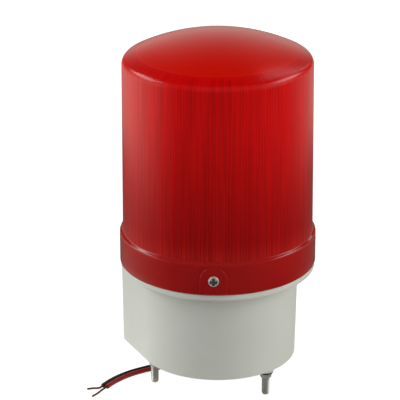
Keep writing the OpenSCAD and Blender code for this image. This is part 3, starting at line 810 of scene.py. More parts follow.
@dataclass
class Cable:
    """Short twin cable: a black and a red core side by side, each with its bare twisted end."""

    bush: tuple[float, float] = BUSH_AT
    exit_z: float = BASE_Z - BUSH_LIP
    core_d: float = 0.0024
    core_shift: float = 0.00123
    bend_drop: float = 0.002
    bend_steps: int = 5
    lie: Spots = field(default_factory=lambda: [
        (-0.030, 0.0193), (-0.036, 0.0189), (-0.042, 0.018),
        (-0.048, 0.0162), (-0.054, 0.0136), (-0.060, 0.010)])
    wire_d: float = 0.0011
    wire_stub: float = 0.0006
    black_lie: Spots = field(default_factory=lambda: [(-0.063, 0.0106), (-0.066, 0.0116), (-0.069, 0.0122)])
    red_lie: Spots = field(default_factory=lambda: [(-0.063, 0.0076), (-0.066, 0.0054), (-0.070, 0.0032)])
    strands: int = 6
    strand_d: float = 0.00036
    lay_length: float = 0.0055
    fine_steps: int = 6
    round_steps: int = 5
    level_run: float = 1e-5

    def route(self) -> list[Vector]:
        """Points of the cable's middle line, from its bush to its cut end.

        Returns:
            The points in order.
        """
        floor_z = self.core_d / 2
        radius = self.exit_z - floor_z - self.bend_drop
        points = [Vector((*self.bush, self.exit_z))]
        for k in range(self.bend_steps + 1):
            turn = math.pi / 2 * k / self.bend_steps
            along = self.bush[0] - radius * (1 - math.cos(turn))
            points.append(Vector((along, self.bush[1], floor_z + radius * (1 - math.sin(turn)))))
        points.extend(Vector((x, y, floor_z)) for x, y in self.lie)
        return points

    def beside(self, points: Sequence[Vector], shift: float) -> list[Vector]:
        """Moves each point of a route sideways, level and square to the way it runs.

        Args:
            points: Points of the route.
            shift: How far each one moves.

        Returns:
            The moved points.
        """
        last = len(points) - 1
        moved = []
        for k, point in enumerate(points):
            run = points[min(k + 1, last)] - points[max(k - 1, 0)]
            flat = Vector((run.y, -run.x, 0.0))
            side = flat.normalized() if flat.length > self.level_run else Vector((0.0, 1.0, 0.0))
            moved.append(point + shift * side)
        return moved

    def rounded(self, points: Sequence[Vector]) -> list[Vector]:
        """Runs a smooth curve through a route's points.

        Args:
            points: Points that the curve passes through.

        Returns:
            The curve's points, a few between each two of the route's.
        """
        padded = [2 * points[0] - points[1], *points, 2 * points[-1] - points[-2]]
        curve = []
        for a, b, c, d in zip(padded, padded[1:], padded[2:], padded[3:]):
            for k in range(self.fine_steps):
                t = k / self.fine_steps
                bend = (2 * a - 5 * b + 4 * c - d) * t + (3 * b - a - 3 * c + d) * t * t
                curve.append(b + 0.5 * t * ((c - a) + bend))
        curve.append(points[-1])
        return curve

    def tube(self, name: str, lines: Sequence[Sequence[Vector]], diameter: float) -> bpy.types.Object:
        """Makes round tubes along lines, as one curve object.

        Args:
            name: Name of the new object.
            lines: Points of each line.
            diameter: Diameter of a tube.

        Returns:
            The curve object.
        """
        data = bpy.data.curves.new(name, "CURVE")
        data.dimensions = "3D"
        data.bevel_depth = diameter / 2
        data.bevel_resolution = self.round_steps
        data.use_fill_caps = True
        for line in lines:
            spline = data.splines.new("POLY")
            spline.points.add(len(line) - 1)
            for slot, point in zip(spline.points, line):
                slot.co = (*point, 1.0)
        piece = bpy.data.objects.new(name, data)
        bpy.context.scene.collection.objects.link(piece)
        return piece

    def strand_lines(self, core: Sequence[Vector], lie: Spots) -> list[list[Vector]]:
        """Lines of a bare end's strands, twisted round the way it lies.

        Args:
            core: Route of the core that the strands come out of.
            lie: Where the bare end lies on the floor.

        Returns:
            The points of each strand.
        """
        run = (core[-1] - core[-2]).normalized()
        middle = [core[-1] - run * self.wire_stub, core[-1] + run * self.wire_stub]
        middle.extend(Vector((x, y, self.wire_d / 2)) for x, y in lie)
        line = self.rounded(middle)
        around = (self.wire_d - self.strand_d) / 2
        lines = []
        for s in range(self.strands):
            travel = 0.0
            strand = []
            for k, point in enumerate(line):
                ahead = (line[min(k + 1, len(line) - 1)] - line[max(k - 1, 0)]).normalized()
                side = ahead.cross(UP).normalized()
                over = side.cross(ahead)
                travel += (point - line[k - 1]).length if k else 0.0
                turn = math.tau * (s / self.strands + travel / self.lay_length)
                strand.append(point + around * (math.cos(turn) * side + math.sin(turn) * over))
            lines.append(strand)
        return lines

    def build(self) -> None:
        rows = (
            ("black", self.core_shift, self.black_lie, BLACK_SHEATH, Slot.BLACK_SHEATH),
            ("red", -self.core_shift, self.red_lie, RED_SHEATH, Slot.RED_SHEATH),
        )
        for colour, shift, lie, finish, slot in rows:
            core = self.beside(self.route(), shift)
            wire = self.tube(colour + "_wire_strands", self.strand_lines(core, lie), self.strand_d)
            dress(wire, COPPER)
            settle(wire, [colour + "_wire"])
            line = self.rounded(core)
            sheath = self.tube(colour + "_core_sheath", [line], self.core_d)
            dress(sheath, finish)
            settle(sheath, [colour + "_core"])


# Sub-assemblies


@dataclass
class Lens:
    """Red lens with its collar, screw pads and inner ribs."""

    foot_z: float = LENS_Z
    collar_r: float = COLLAR_R
    collar_h: float = 0.0164
    edge_r: float = 0.0012
    edge_steps: int = 8
    hollow_r: float = 0.0008
    hollow_steps: int = 6
    ledge_slope: float = 30.0
    wall_low_r: float = 0.0484
    wall_top_r: float = 0.0479
    wall_t: float = 0.0023
    height: float = 0.119
    shoulder_r: float = 0.004
    crown_rise: float = 0.0147
    crown_steps: int = 24
    inner_steps: int = 16
    rib_count: int = 120
    rib_depth: float = 0.0007
    rib_gap: float = 0.0001
    rib_end: float = 0.002
    rib_nearness: float = 2e-5
    bore_r: float = 0.047
    bore_h: float = 0.0136
    lip_round: float = 0.0003
    pad_r: float = 0.0070
    pad_foot: float = 0.0005
    pad_root: float = 0.0029
    pad_edge: float = 0.0004
    pad_steps: int = 32

    def crown(self, wall: float, edge: float, rise: float, top: float, steps: int) -> Profile:
        """Points from the shoulder up to the middle of a crown that runs tangent into it.

        Args:
            wall: Radius of the wall below.
            edge: Radius of the shoulder.
            rise: Height from the shoulder's start to the crown.
            top: Height of the crown.
            steps: Steps along the crown, and half of that along the shoulder.

        Returns:
            The points in order.
        """
        big = ((wall - edge) ** 2 + rise * rise - edge * edge) / (2 * (rise - edge))
        meet = math.degrees(math.atan2(big - rise, wall - edge))
        shoulder = arc((wall - edge, top - rise), edge, 0.0, meet, steps // 2)
        return shoulder + arc((0.0, top - big), big, meet, QUARTER, steps)[1:]

    def collar_edge(self) -> Profile:
        """Points of the collar's rounded edge, its sloping ledge and the hollow under the wall.

        Returns:
            The points in order.
        """
        slope = math.radians(self.ledge_slope)
        top = self.foot_z + self.collar_h
        centre = (self.collar_r - self.edge_r, top - self.edge_r)
        edge = arc(centre, self.edge_r, 0.0, QUARTER - self.ledge_slope, self.edge_steps)
        end_r = self.wall_low_r + self.hollow_r * (1 - math.sin(slope))
        low = edge[-1][1] + (edge[-1][0] - end_r) * math.tan(slope)
        hollow = (self.wall_low_r + self.hollow_r, low + self.hollow_r * math.cos(slope))
        start = 3 * QUARTER - self.ledge_slope
        return edge + arc(hollow, self.hollow_r, start, 2 * QUARTER, self.hollow_steps)

    def profile(self) -> Profile:
        """Closed outline of the lens: up its outside, over the crown and down its inside.

        Returns:
            The points in order, the first one again at the end.
        """
        apex = self.foot_z + self.height
        inner_r = self.wall_top_r - self.wall_t
        rib_r = inner_r - self.rib_gap
        rib_top = apex - self.crown_rise - self.rib_end
        ledge = self.foot_z + self.bore_h
        outside = rounding(Corner.LOW_OUTER, self.collar_r, self.foot_z, self.lip_round, COARSE_EDGE_STEPS)
        outside += self.collar_edge()
        outside += self.crown(self.wall_top_r, self.shoulder_r, self.crown_rise, apex, self.crown_steps)
        inside = self.crown(inner_r, self.shoulder_r - self.wall_t, self.crown_rise - self.wall_t,
                            apex - self.wall_t, self.inner_steps)
        inside.reverse()
        inside += [(rib_r, rib_top), (rib_r, ledge + self.rib_end / 2), (rib_r, ledge)]
        inside += [(self.bore_r, ledge), (self.bore_r, self.foot_z)]
        return outside + inside + [outside[0]]

    def shell(self) -> bpy.types.Object:
        """Turns the lens and draws in every second upright of its inner wall as a rib.

        Returns:
            The lens without its pads.
        """
        piece = turned("lens_shell", self.profile(), 2 * self.rib_count)
        rib_r = self.wall_top_r - self.wall_t - self.rib_gap
        low = self.foot_z + self.bore_h - self.rib_nearness
        high = self.foot_z + self.height - self.crown_rise - self.rib_end / 2
        half_step = math.pi / self.rib_count

        def on_rib(vert: bmesh.types.BMVert) -> bool:
            """Says whether a vertex is on the crest of a rib.

            Args:
                vert: Vertex of the lens.

            Returns:
                True on a crest.
            """
            off_wall = abs(math.hypot(vert.co.x, vert.co.y) - rib_r)
            count = round(math.atan2(vert.co.y, vert.co.x) / half_step)
            return off_wall < self.rib_nearness and low < vert.co.z < high and count % 2 == 1

        edit(piece)
        select_where(piece, "verts", on_rib)
        widen((rib_r - self.rib_depth) / rib_r)
        leave_edit()
        return piece

    def pad(self) -> bpy.types.Object:
        """Flat pad with a round top that one lens screw bears on.

        Returns:
            The first pad, in its place.
        """
        outline = [(-self.pad_r, self.pad_foot), (self.pad_r, self.pad_foot)]
        outline += arc((0.0, SCREW_RISE), self.pad_r, 0.0, 2 * QUARTER, self.pad_steps)
        piece = drawn_line("lens_pad", [Vector((x, y, 0.0)) for x, y in outline])
        select_all()
        bpy.ops.mesh.edge_face_add()
        extrude((self.pad_root + PAD_PROUD) * UP)
        bpy.ops.mesh.bevel(offset=self.pad_edge, segments=EDGE_STEPS, affect="EDGES")
        close_skin()
        leave_edit()
        return place(piece, outward(SCREW_CLOCK, self.collar_r - self.pad_root, self.foot_z))

    def build(self) -> None:
        """Makes the lens with its pads and dresses both its finishes."""
        shell = self.shell()
        pads = ring_of(self.pad())
        dress(shell, TintedLens(), COLLAR_PLASTIC)
        dress(pads, COLLAR_PLASTIC)
        collar_end = self.foot_z + self.collar_h + self.hollow_r
        for face in shell.data.polygons:
            face.material_index = int(face.center.z < collar_end)
        lens = join([shell, pads])
        smooth(lens)
        settle(lens, ["lens"])


@dataclass
class LensScrews:
    """Pan-head screws with a cross recess that hold the lens."""

    face_r: float = COLLAR_R + PAD_PROUD
    height: float = LENS_Z + SCREW_RISE
    head_r: float = 0.0027
    head_h: float = 0.0019
    rim_h: float = 0.0006
    foot_share: float = 0.97
    foot_h: float = 0.0001
    dome_steps: int = 10
    shank_r: float = 0.0015
    shank_l: float = 0.0070
    tip_share: float = 0.6
    tip_h: float = 0.0006
    recess_l: float = 0.0034
    recess_w: float = 0.00115
    recess_d: float = 0.0013
    recess_arms: int = 4
    recess_flare: float = 1.35
    recess_skin: float = 0.00013
    recess_reach: float = 0.9

    def profile(self) -> Profile:
        """Outline of one screw from the tip of its thread to the top of its head.

        Returns:
            The points in order.
        """
        crown = self.head_h - self.rim_h
        points = [(0.0, -self.shank_l), (self.shank_r * self.tip_share, -self.shank_l)]
        points += [(self.shank_r, self.tip_h - self.shank_l), (self.shank_r, 0.0)]
        points += [(self.head_r * self.foot_share, 0.0), (self.head_r, self.foot_h)]
        for k in range(self.dome_steps + 1):
            turn = math.pi / 2 * k / self.dome_steps
            points.append((self.head_r * math.cos(turn), self.rim_h + crown * math.sin(turn)))
        return points

    def in_recess(self, point: Vector) -> bool:
        """Says whether a point on the head is below its domed top, in the recess.

        Args:
            point: Point on the screw before it is put in its place.

        Returns:
            True in the recess.
        """
        away = min(1.0, math.hypot(point.x, point.y) / self.head_r)
        dome = self.rim_h + (self.head_h - self.rim_h) * math.sqrt(1.0 - away ** 2)
        return away < self.recess_reach and 0.0 < point.z < dome - self.recess_skin

    def recess(self) -> bpy.types.Object:
        """Cross-shaped driver that the recess is cut with, narrower at its foot.

        Returns:
            The driver.
        """
        half_l = self.recess_l / 2
        half_w = self.recess_w / 2
        foot = (self.head_h - self.recess_d) * UP
        corners = []
        for k in range(self.recess_arms):
            turn = Matrix.Rotation(math.tau * k / self.recess_arms, 3, "Z")
            for x, y in ((half_w, half_w), (half_w, half_l), (-half_w, half_l)):
                corners.append(turn @ Vector((x, y, 0.0)) + foot)
        piece = drawn_line("screw_driver", corners)
        select_all()
        bpy.ops.mesh.edge_face_add()
        extrude(2 * self.recess_d * UP)
        widen(self.recess_flare)
        close_skin()
        leave_edit()
        return piece

    def build(self) -> None:
        """Makes one screw, cuts its recess and repeats it round the collar."""
        screw = turned("lens_screw_set", self.profile())
        driver = self.recess()
        apply_modifier(screw, "BOOLEAN", operation="DIFFERENCE", solver="EXACT", object=driver)
        bpy.data.objects.remove(driver)
        # Painted shade: the faces inside the cross recess take the darker steel
        dress(screw, SCREW_STEEL, SCREW_RECESS_SHADE)
        for face in screw.data.polygons:
            face.material_index = int(self.in_recess(face.center))
        place(screw, outward(SCREW_CLOCK, self.face_r, self.height))
        screws = ring_of(screw)
        smooth(screws)
        settle(screws, ["lens_screws"])


@dataclass
class Base:
    """Pale base moulding: round in front, straight-sided and flat behind, under a round flange."""

    bottom: float = BASE_Z
    top: float = LENS_Z
    wall_r_top: float = 0.0412
    wall_r_bottom: float = 0.040
    front_steps: int = 96
    back: float = 0.031
    corner_r: float = 0.0502
    corner_steps: int = 6
    wall_t: float = 0.0024
    bevel_angle: float = 38.0
    lip_r: float = 0.0495
    lip_h: float = 0.0032
    lip_round: float = 0.0009
    lip_steps: int = 8
    cove_r: float = 0.0055
    cove_sink: float = 0.0003
    cove_steps: int = 16
    shelf_t: float = 0.0036
    shelf_r: float = 0.0378
    neck_r: float = 0.0467
    neck_bore_r: float = 0.0436
    neck_h: float = 0.013
    flange_steps: int = 192
    boss_r: float = 0.0042
    boss_root: float = 0.0008
    boss_root_steps: int = 5
    boss_steps: int = 64
    pillar_r: float = 0.004
    pillar_h: float = 0.014
    pillar_gap: float = 0.0002
    pillar_circle_r: float = 0.035
    pillar_clock: float = 80.0
    pillar_rib_w: float = 0.005
    pillar_rib_h: float = 0.013
    edge: float = 0.00035

    def wall_r(self, z: float) -> float:
        """Radius of the round wall at a height."""
        draft = self.wall_r_top - self.wall_r_bottom
        return self.wall_r_bottom + draft * (z - self.bottom) / (self.top - self.bottom)

    def outline(self, z: float) -> list[Vector]:
        """Outline of the base at a height.

        Args:
            z: Height of the outline.

        Returns:
            Its points, from the right side round the front to the flat back.
        """
        wall = self.wall_r(z)
        front = arc((0.0, 0.0), wall, 0.0, -2 * QUARTER, self.front_steps)
        side_y = math.sqrt(self.corner_r ** 2 - wall ** 2)
        start = math.degrees(math.atan2(side_y, -wall))
        end = math.degrees(math.atan2(self.back, -math.sqrt(self.corner_r ** 2 - self.back ** 2)))
        left = arc((0.0, 0.0), self.corner_r, start, end, self.corner_steps)
        right = [(-x, y) for x, y in reversed(left)]
        return [Vector((x, y, z)) for x, y in front + left + right]

    def drawn_outline(self, z: float) -> bpy.types.Object:
        """Draws the outline of the base at a height as a closed loop of edges.

        Args:
            z: Height of the outline.

        Returns:
            The loop, in object mode.
        """
        points = self.outline(z)
        ends = (points[0], points[-1])
        loop = drawn_line("base_housing_shell", points)
        select_where(loop, "verts", lambda vert: min((vert.co - end).length for end in ends) < MERGE_GAP)
        bpy.ops.mesh.edge_face_add()
        leave_edit()
        return loop

    def tub(self) -> bpy.types.Object:
        """Walls and floor: two drawn outlines that are bridged, closed below and given their thickness.

        Returns:
            The tub, open at its top.
        """
        tub = join([self.drawn_outline(z) for z in (self.bottom, self.top - self.lip_h / 2)])
        edit(tub)
        bpy.ops.mesh.select_mode(type="EDGE")
        bpy.ops.mesh.bridge_edge_loops()
        select_where(tub, "edges", lambda edge: max(v.co.z for v in edge.verts) < self.bottom + MERGE_GAP)
        bpy.ops.mesh.edge_face_add()
        close_skin()
        leave_edit()
        apply_modifier(tub, "SOLIDIFY", thickness=self.wall_t, offset=-1.0, use_even_offset=True)
        apply_modifier(tub, "BEVEL", width=self.edge, segments=COARSE_EDGE_STEPS, limit_method="ANGLE",
                       angle_limit=math.radians(self.bevel_angle))
        smooth(tub)
        apply_modifier(tub, "WEIGHTED_NORMAL", keep_sharp=True)
        return tub

    def flange(self) -> bpy.types.Object:
        """Round flange under the lens: shelf, hollow curve, rounded lip and the neck inside the lens.

        Returns:
            The flange.
        """
        lip_z = self.top - self.lip_h
        cove_z = lip_z - self.cove_r
        wall = self.wall_r(cove_z) - self.cove_sink
        shelf_z = self.top - self.shelf_t
        neck_z = self.top + self.neck_h
        points = [(self.shelf_r, shelf_z)]
        points += arc((wall + self.cove_r, cove_z), self.cove_r, 2 * QUARTER, QUARTER, self.cove_steps)
        points += rounding(Corner.LOW_OUTER, self.lip_r, lip_z, self.edge)
        points += rounding(Corner.TOP_OUTER, self.lip_r, self.top, self.lip_round, self.lip_steps)
        points += [(self.neck_r, self.top)]
        points += rounding(Corner.TOP_OUTER, self.neck_r, neck_z, self.edge, COARSE_EDGE_STEPS)
        points += rounding(Corner.TOP_INNER, self.neck_bore_r, neck_z, self.edge, COARSE_EDGE_STEPS)
        points += [(self.neck_bore_r, self.top), (self.shelf_r, self.top), (self.shelf_r, shelf_z)]
        return turned("base_flange", points, self.flange_steps)

    def boss(self) -> bpy.types.Object:
        """Boss under the floor that one stud comes out of, hollowed into the floor round its root.

        Returns:
            The first boss, in its place.
        """
        root = self.boss_root
        foot_r = self.boss_r + root
        points = [(0.0, MOUNT_Z)]
        points += rounding(Corner.LOW_OUTER, self.boss_r, MOUNT_Z, self.edge)
        points += arc((foot_r, self.bottom - root), root, 2 * QUARTER, QUARTER, self.boss_root_steps)
        points += [(foot_r, self.bottom + root), (0.0, self.bottom + root)]
        return place(turned("base_boss", points, self.boss_steps), on_clock(STUD_CLOCK, STUD_CIRCLE_R))

    def pillar(self) -> bpy.types.Object:
        """Pillar that one deck screw goes into, with the rib that ties it to the wall.

        Returns:
            The first pillar, in its place.
        """
        low = self.top - self.pillar_h
        high = self.top - self.pillar_gap
        points = [(0.0, low)]
        points += rounding(Corner.LOW_OUTER, self.pillar_r, low, self.edge)
        points += [(self.pillar_r, high), (0.0, high)]
        post = turned("base_pillar", points)
        reach = self.wall_r_bottom - self.pillar_circle_r
        middle = (reach / 2, 0.0, low + self.pillar_rib_h / 2)
        size = (reach, self.pillar_rib_w, self.pillar_rib_h)
        clear_selection()
        bpy.ops.mesh.primitive_cube_add(size=1.0, location=middle, scale=size)
        rib = active_piece()
        apply_place()
        edit(rib)
        bpy.ops.mesh.bevel(offset=self.edge, segments=COARSE_EDGE_STEPS, affect="EDGES")
        smooth(rib)
        return place(join([post, rib]), on_clock(self.pillar_clock, self.pillar_circle_r))

    def build(self) -> None:
        """Makes the base as one piece and dresses it."""
        base = join([self.tub(), self.flange(), ring_of(self.boss()), ring_of(self.pillar())])
        dress(base, BASE_PLASTIC)
        settle(base, ["base_housing"])


@dataclass
class Studs:
    """Three threaded studs with their rubber washers and flared nuts."""

    top: float = MOUNT_Z
    thread_r: float = 0.002
    pitch: float = 0.0007
    depth: float = 0.00036
    crest: Span = (0.42, 0.55)
    thread_steps: int = 32
    core_steps: int = 40
    tip: float = 0.0005
    sink: float = 0.00005
    shank_r: float = 0.00195
    head_z: float = 0.0181
    head_r: float = 0.0035
    head_h: float = 0.0026
    head_edge: float = 0.0003
    washer_t: float = 0.0008
    washer_r: float = 0.0039
    washer_soft: float = 0.35
    nut_h: float = 0.0027
    nut_r: float = 0.0034
    nut_low_r: float = 0.0027
    nut_sides: int = 6
    nut_swell: float = 1.08
    nut_edge: float = 0.00025
    brim: float = 0.0006
    brim_edge: float = 0.0001
    crease: float = 40.0

    def core(self) -> bpy.types.Object:
        """Core of one stud, from its coned tip up to the head inside the base.

        Returns:
            The core, on the axis.
        """
        core_r = self.thread_r - self.depth
        head_top = self.head_z + self.head_h
        points = [(0.0, 0.0), (core_r - self.tip / 2, 0.0), (core_r, self.tip), (core_r, self.top)]
        points += [(self.shank_r, self.top), (self.shank_r, self.head_z), (self.head_r, self.head_z)]
        points += rounding(Corner.TOP_OUTER, self.head_r, head_top, self.head_edge)
        return turned("mounting_stud_set", points + [(0.0, head_top)], self.core_steps)

    def thread(self) -> bpy.types.Object:
        """One stud: its core with a thread wound round it.

        Returns:
            The stud, on the axis.
        """
        foot_r = self.thread_r - self.depth - self.sink
        starts, ends = self.crest
        tooth = [(foot_r, 0.0), (self.thread_r, starts), (self.thread_r, ends), (foot_r, 1.0)]
        core = self.core()
        lift = self.tip / 2
        winding = drawn_line("stud_thread", [Vector((r, 0.0, self.pitch * s + lift)) for r, s in tooth])
        leave_edit()
        turns = int((self.top - self.tip) / self.pitch)
        apply_modifier(winding, "SCREW", angle=math.tau, screw_offset=self.pitch, iterations=turns,
                       steps=self.thread_steps, render_steps=self.thread_steps, use_merge_vertices=True,
                       merge_threshold=MERGE_GAP, use_normal_calculate=True)
        return join([core, winding])

    def washer(self) -> bpy.types.Object:
        """One rubber washer with rounded edges.

        Returns:
            The washer, on the axis.
        """
        low = self.top - self.washer_t
        soft = self.washer_t * self.washer_soft
        points = [(self.thread_r, low)]
        points += rounding(Corner.LOW_OUTER, self.washer_r, low, soft)
        points += rounding(Corner.TOP_OUTER, self.washer_r, self.top, soft)
        points += [(self.thread_r, self.top), (self.thread_r, low)]
        return turned("rubber_washer_set", points)

    def nut_brim(self, top: float) -> bpy.types.Object:
        """Round brim of one nut.

        Args:
            top: Height of the nut's upper face.

        Returns:
            The brim, on the axis.
        """
        hole = self.thread_r - self.sink
        low = top - self.brim
        outer = self.nut_r - self.brim_edge
        points = [(hole, low), (outer, low), (self.nut_r, top - self.brim / 2), (outer, top)]
        return turned("mounting_nut_set", points + [(hole, top), (hole, low)])

    def nut(self) -> bpy.types.Object:
        """One flared nut: a round brim above a tapering six-sided body.

        Returns:
            The nut, on the axis.
        """
        top = self.top - self.washer_t
        brim = self.nut_brim(top)
        tall = self.nut_h - self.brim / 2
        middle = top - self.nut_h + tall / 2
        corner_r = self.nut_low_r * self.nut_swell
        clear_selection()
        bpy.ops.mesh.primitive_cylinder_add(vertices=self.nut_sides, radius=corner_r, depth=tall,
                                            location=middle * UP)
        body = active_piece()
        apply_place()
        edit(body)
        select_where(body, "verts", lambda vert: vert.co.z > middle)
        widen(self.nut_r / corner_r)
        select_all()
        bpy.ops.mesh.bevel(offset=self.nut_edge, segments=COARSE_EDGE_STEPS, affect="EDGES")
        close_skin()
        leave_edit()
        return join([brim, body])

    def build(self) -> None:
        """Makes the studs, washers and nuts and dresses them."""
        rows = (
            (self.thread, ZINC, Slot.ZINC, "mounting_bolts"),
            (self.washer, BLACK_RUBBER, Slot.RUBBER, "rubber_washers"),
            (self.nut, ZINC, Slot.ZINC, "mounting_nuts"),
        )
        for make, finish, slot, node in rows:
            pieces = ring_of(place(make(), on_clock(STUD_CLOCK, STUD_CIRCLE_R)))
            smooth(pieces, self.crease)
            dress(pieces, finish)
            settle(pieces, [node])


@dataclass
class CableBush:
    """Rubber bush in the floor where the cable comes out."""

    at: tuple[float, float] = BUSH_AT
    floor_z: float = BASE_Z
    floor_t: float = 0.003
    lip_t: float = BUSH_LIP
    lip_r: float = 0.006
    lip_soft: float = 0.45
    lip_steps: int = 6
    body_r: float = 0.0045

    def build(self) -> None:
        """Turns the bush with rounded lips and dresses it."""
        low = self.floor_z - self.lip_t
        seat = self.floor_z + self.floor_t
        top = seat + self.lip_t
        soft = self.lip_t * self.lip_soft
        points = [(0.0, low)]
        points += rounding(Corner.LOW_OUTER, self.lip_r, low, soft, self.lip_steps)
        points += [(self.lip_r, self.floor_z), (self.body_r, self.floor_z)]
        points += [(self.body_r, seat), (self.lip_r, seat)]
        points += rounding(Corner.TOP_OUTER, self.lip_r, top, soft, self.lip_steps)
        points += [(0.0, top)]
        bush = place(turned("cable_bush_rubber", points), Matrix.Translation((*self.at, 0.0)))
        dress(bush, BLACK_RUBBER)
        settle(bush, ["cable_bush"])


@dataclass
class Mechanism:
    """Lamp, gears, mirror and motor inside the lens, which keep their CAD solids."""

    finishes: dict[str, Finish] = field(default_factory=lambda: {
        "lens_seal": BLACK_RUBBER, "deck_plate": DECK_STEEL, "deck_screws": SCREW_STEEL, "lamp_post": BRASS,
        "post_screws": SCREW_STEEL, "lamp_holder": BRASS, "bulb_cap": LAMP_CAP, "bulb_glass": ClearGlass(),
        "retaining_ring": ZINC, "turntable_gear": GEAR_PLASTIC, "reflector": MIRROR_METAL,
        "reflector_screws": SCREW_STEEL, "idler_pin": ZINC, "idler_gear": GEAR_PLASTIC, "idler_clip": ZINC,
        "motor": MOTOR_STEEL, "motor_screws": SCREW_STEEL, "motor_shaft": ZINC, "pinion": BRASS})

    def build(self) -> None:
        """Dresses each CAD solid of the mechanism."""
        for node, finish in self.finishes.items():
            dress(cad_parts[node], finish)
            LOG.info("%s is dressed", node)


# Studio


@dataclass(frozen=True)
class Softbox:
    """A soft lamp: its place, power, size and colour, and whether only gloss and clear parts show it."""

    name: str
    left: float
    back: float
    up: float
    power: float
    width: float = 1.1
    height: float = 1.1
    colour: Colour = WHITE
    in_gloss: bool = False


SOFTBOXES = (
    Softbox("left_softbox", left=1.15, back=0.10, up=0.50, power=9.8, colour=(0.97, 1.0, 1.04)),
    Softbox("left_shine", left=0.98, back=0.36, up=0.85, power=4.4, width=0.8, height=0.5, in_gloss=True),
    Softbox("right_softbox", left=-1.18, back=-0.20, up=0.50, power=8.9),
    Softbox("right_shine", left=-0.98, back=0.22, up=0.85, power=3.6, width=0.8, height=0.5, in_gloss=True),
    Softbox("front_softbox", left=0.0, back=-1.10, up=1.10, power=10.0, width=2.4, height=2.0),
    Softbox("window_strip", left=-0.63, back=0.90, up=0.93, power=0.5, width=0.12, height=1.0, in_gloss=True),
)


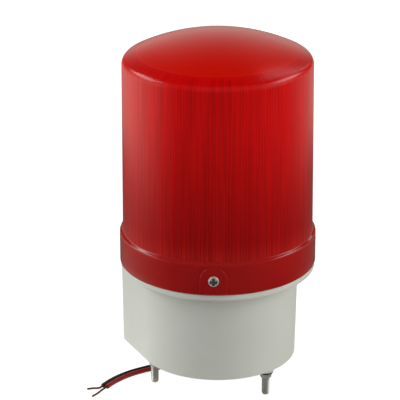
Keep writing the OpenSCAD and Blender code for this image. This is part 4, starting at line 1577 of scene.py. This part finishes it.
@dataclass
class Studio:
    """Plain pale floor, a surround that is bright low behind the beacon, and soft lamps."""

    back: Vector
    aim: float = 0.1
    floor_size: float = 12.0
    floor_grey: float = 0.50
    floor_dark: float = 0.005
    floor_glow: float = 0.92
    floor_roughness: float = 0.9
    side_split: Span = (-0.3, 0.3)
    gloss_turn: Span = (0.72, 0.28)
    gloss_width: Span = (0.05, 1.05)
    gloss: Span = (0.45, 0.97)
    gloss_foot: Span = (0.08, 0.20)
    gloss_reach: Span = (0.34, 0.48)
    gloss_close: float = 0.23
    gloss_under: Span = (0.06, 0.10)
    warm: Colour = (1.0, 0.98, 0.89)
    fill_level: float = 0.02
    side_turn: float = 0.1
    side_width: Span = (0.35, 0.8)
    side_height: Span = (0.0, 0.4)
    side_share: float = 0.12
    back_level: float = 0.66
    back_turn: Span = (-0.1, 0.9)
    back_width: Span = (0.15, 0.42)
    back_height: Span = (0.12, 0.95)

    @property
    def left(self) -> Vector:
        """Level direction to the left of the beacon, as the camera sees it."""
        return Vector((-self.back.y, self.back.x, 0.0))

    def floor_gloss(self, shading: Shading, reach: Socket) -> Socket:
        """Light that gloss finds on the floor, to both sides behind the beacon.

        Args:
            shading: Material that the nodes go into.
            reach: Distance from the lens axis.

        Returns:
            The light's strength.
        """
        way = shading.vector("NORMALIZE", shading.coords)
        along = shading.vector("DOT_PRODUCT", way, self.back)
        across = shading.vector("DOT_PRODUCT", way, self.left)
        turn = shading.ramp(across, self.side_split, self.gloss_turn)
        off_side = shading.math("ABSOLUTE", shading.math("SUBTRACT", along, turn))
        beside = shading.ramp(off_side, self.gloss_width, FALL)
        sided = shading.ramp(across, self.side_split, self.gloss)
        far = shading.ramp(reach, self.gloss_reach, (self.gloss_close, 1.0))
        near = shading.ramp(reach, self.gloss_foot, FALL)
        return shading.times(shading.times(beside, sided), shading.math("MAXIMUM", near, far))

    def floor(self) -> None:
        """Lays the floor: white to the camera, with the beacon's shadow, and lit from the sides in gloss."""
        clear_selection()
        bpy.ops.mesh.primitive_plane_add(size=self.floor_size, location=ORIGIN)
        floor = active_piece()
        floor.name = "studio_floor"
        shading = Shading("studio_floor_white")
        shading.set(Roughness=self.floor_roughness, Specular_IOR_Level=0.0)
        rays = shading.node("LightPath").outputs
        glossy = rays["Is Glossy Ray"]
        reach = shading.vector("LENGTH", shading.coords)
        mirrored = shading.times(glossy, self.floor_gloss(shading, reach))
        seen = shading.math("MAXIMUM", rays["Is Camera Ray"], rays["Is Transmission Ray"])
        shown = shading.times(seen, self.floor_glow)
        shading.drive(shading.math("MAXIMUM", shown, mirrored), "Emission Strength")
        pale = (self.floor_grey,) * 3
        dark = (self.floor_dark,) * 3
        shaded = shading.times(glossy, shading.ramp(reach, self.gloss_under, RISE))
        shading.drive(shading.mix(shaded, pale, dark), "Base Color")
        shading.drive(shading.mix(glossy, WHITE, self.warm), "Emission Color")
        floor.data.materials.append(shading.material)

    def surround(self) -> None:
        """Makes the surround: white to the camera, else bright low behind the beacon and darker in front."""
        world = bpy.data.worlds.new("studio_surround")
        world.use_nodes = True
        bpy.context.scene.world = world
        nodes = Nodes(world.node_tree)
        sky = next(n for n in nodes.tree.nodes if n.type == "BACKGROUND")
        way = nodes.node("TexCoord").outputs["Generated"]
        along = nodes.vector("DOT_PRODUCT", way, self.back)
        across = nodes.vector("DOT_PRODUCT", way, self.left)
        rise = nodes.vector("DOT_PRODUCT", way, UP)
        behind = nodes.ramp(along, self.back_turn, (0.0, self.back_level))
        narrow = nodes.ramp(nodes.math("ABSOLUTE", across), self.back_width, (1.0, self.side_share))
        glow = nodes.times(nodes.times(behind, narrow), nodes.ramp(rise, self.back_height, FALL))
        off_side = nodes.math("ABSOLUTE", nodes.math("SUBTRACT", along, self.side_turn))
        sided = nodes.ramp(across, self.side_split, self.gloss)
        beside = nodes.times(nodes.ramp(off_side, self.side_width, FALL), sided)
        side_glow = nodes.times(beside, nodes.ramp(rise, self.side_height, FALL))
        seen = nodes.node("LightPath").outputs["Is Camera Ray"]
        level = nodes.math("MAXIMUM", nodes.math("MAXIMUM", glow, side_glow), self.fill_level)
        nodes.feed(sky.inputs["Strength"], nodes.math("MAXIMUM", level, seen))
        nodes.feed(sky.inputs["Color"], nodes.mix(seen, self.warm, WHITE))

    def lamp(self, softbox: Softbox) -> None:
        """Hangs one softbox so that it looks at the beacon's middle.

        Args:
            softbox: Lamp to hang.
        """
        data = bpy.data.lights.new(softbox.name, "AREA")
        data.shape = "RECTANGLE"
        data.size = softbox.width
        data.size_y = softbox.height
        data.energy = softbox.power
        data.color = softbox.colour
        lamp = bpy.data.objects.new(softbox.name, data)
        bpy.context.scene.collection.objects.link(lamp)
        lamp.location = softbox.left * self.left + softbox.back * self.back + softbox.up * UP
        lamp.rotation_euler = (self.aim * UP - lamp.location).to_track_quat("-Z", "Y").to_euler()
        lamp.visible_camera = False
        lamp.visible_glossy = softbox.in_gloss
        lamp.visible_transmission = softbox.in_gloss
        lamp.visible_diffuse = not softbox.in_gloss

    def build(self) -> None:
        """Sets up the floor, the surround, the lamps and plain colour handling."""
        self.floor()
        self.surround()
        for softbox in SOFTBOXES:
            self.lamp(softbox)
        bpy.context.scene.view_settings.view_transform = "Standard"


def main() -> None:
    """Builds the camera, the cable, the beacon and the studio in order."""
    logging.basicConfig(level=logging.INFO, format="%(message)s")
    camera = PhotoCamera()
    camera.build()
    for part in (Cable(), Lens(), LensScrews(), Base(), Studs(), CableBush(), Mechanism()):
        part.build()
        LOG.info("%s is built", type(part).__name__)
    Studio(camera.back()).build()


if __name__ == "__main__":
    main()
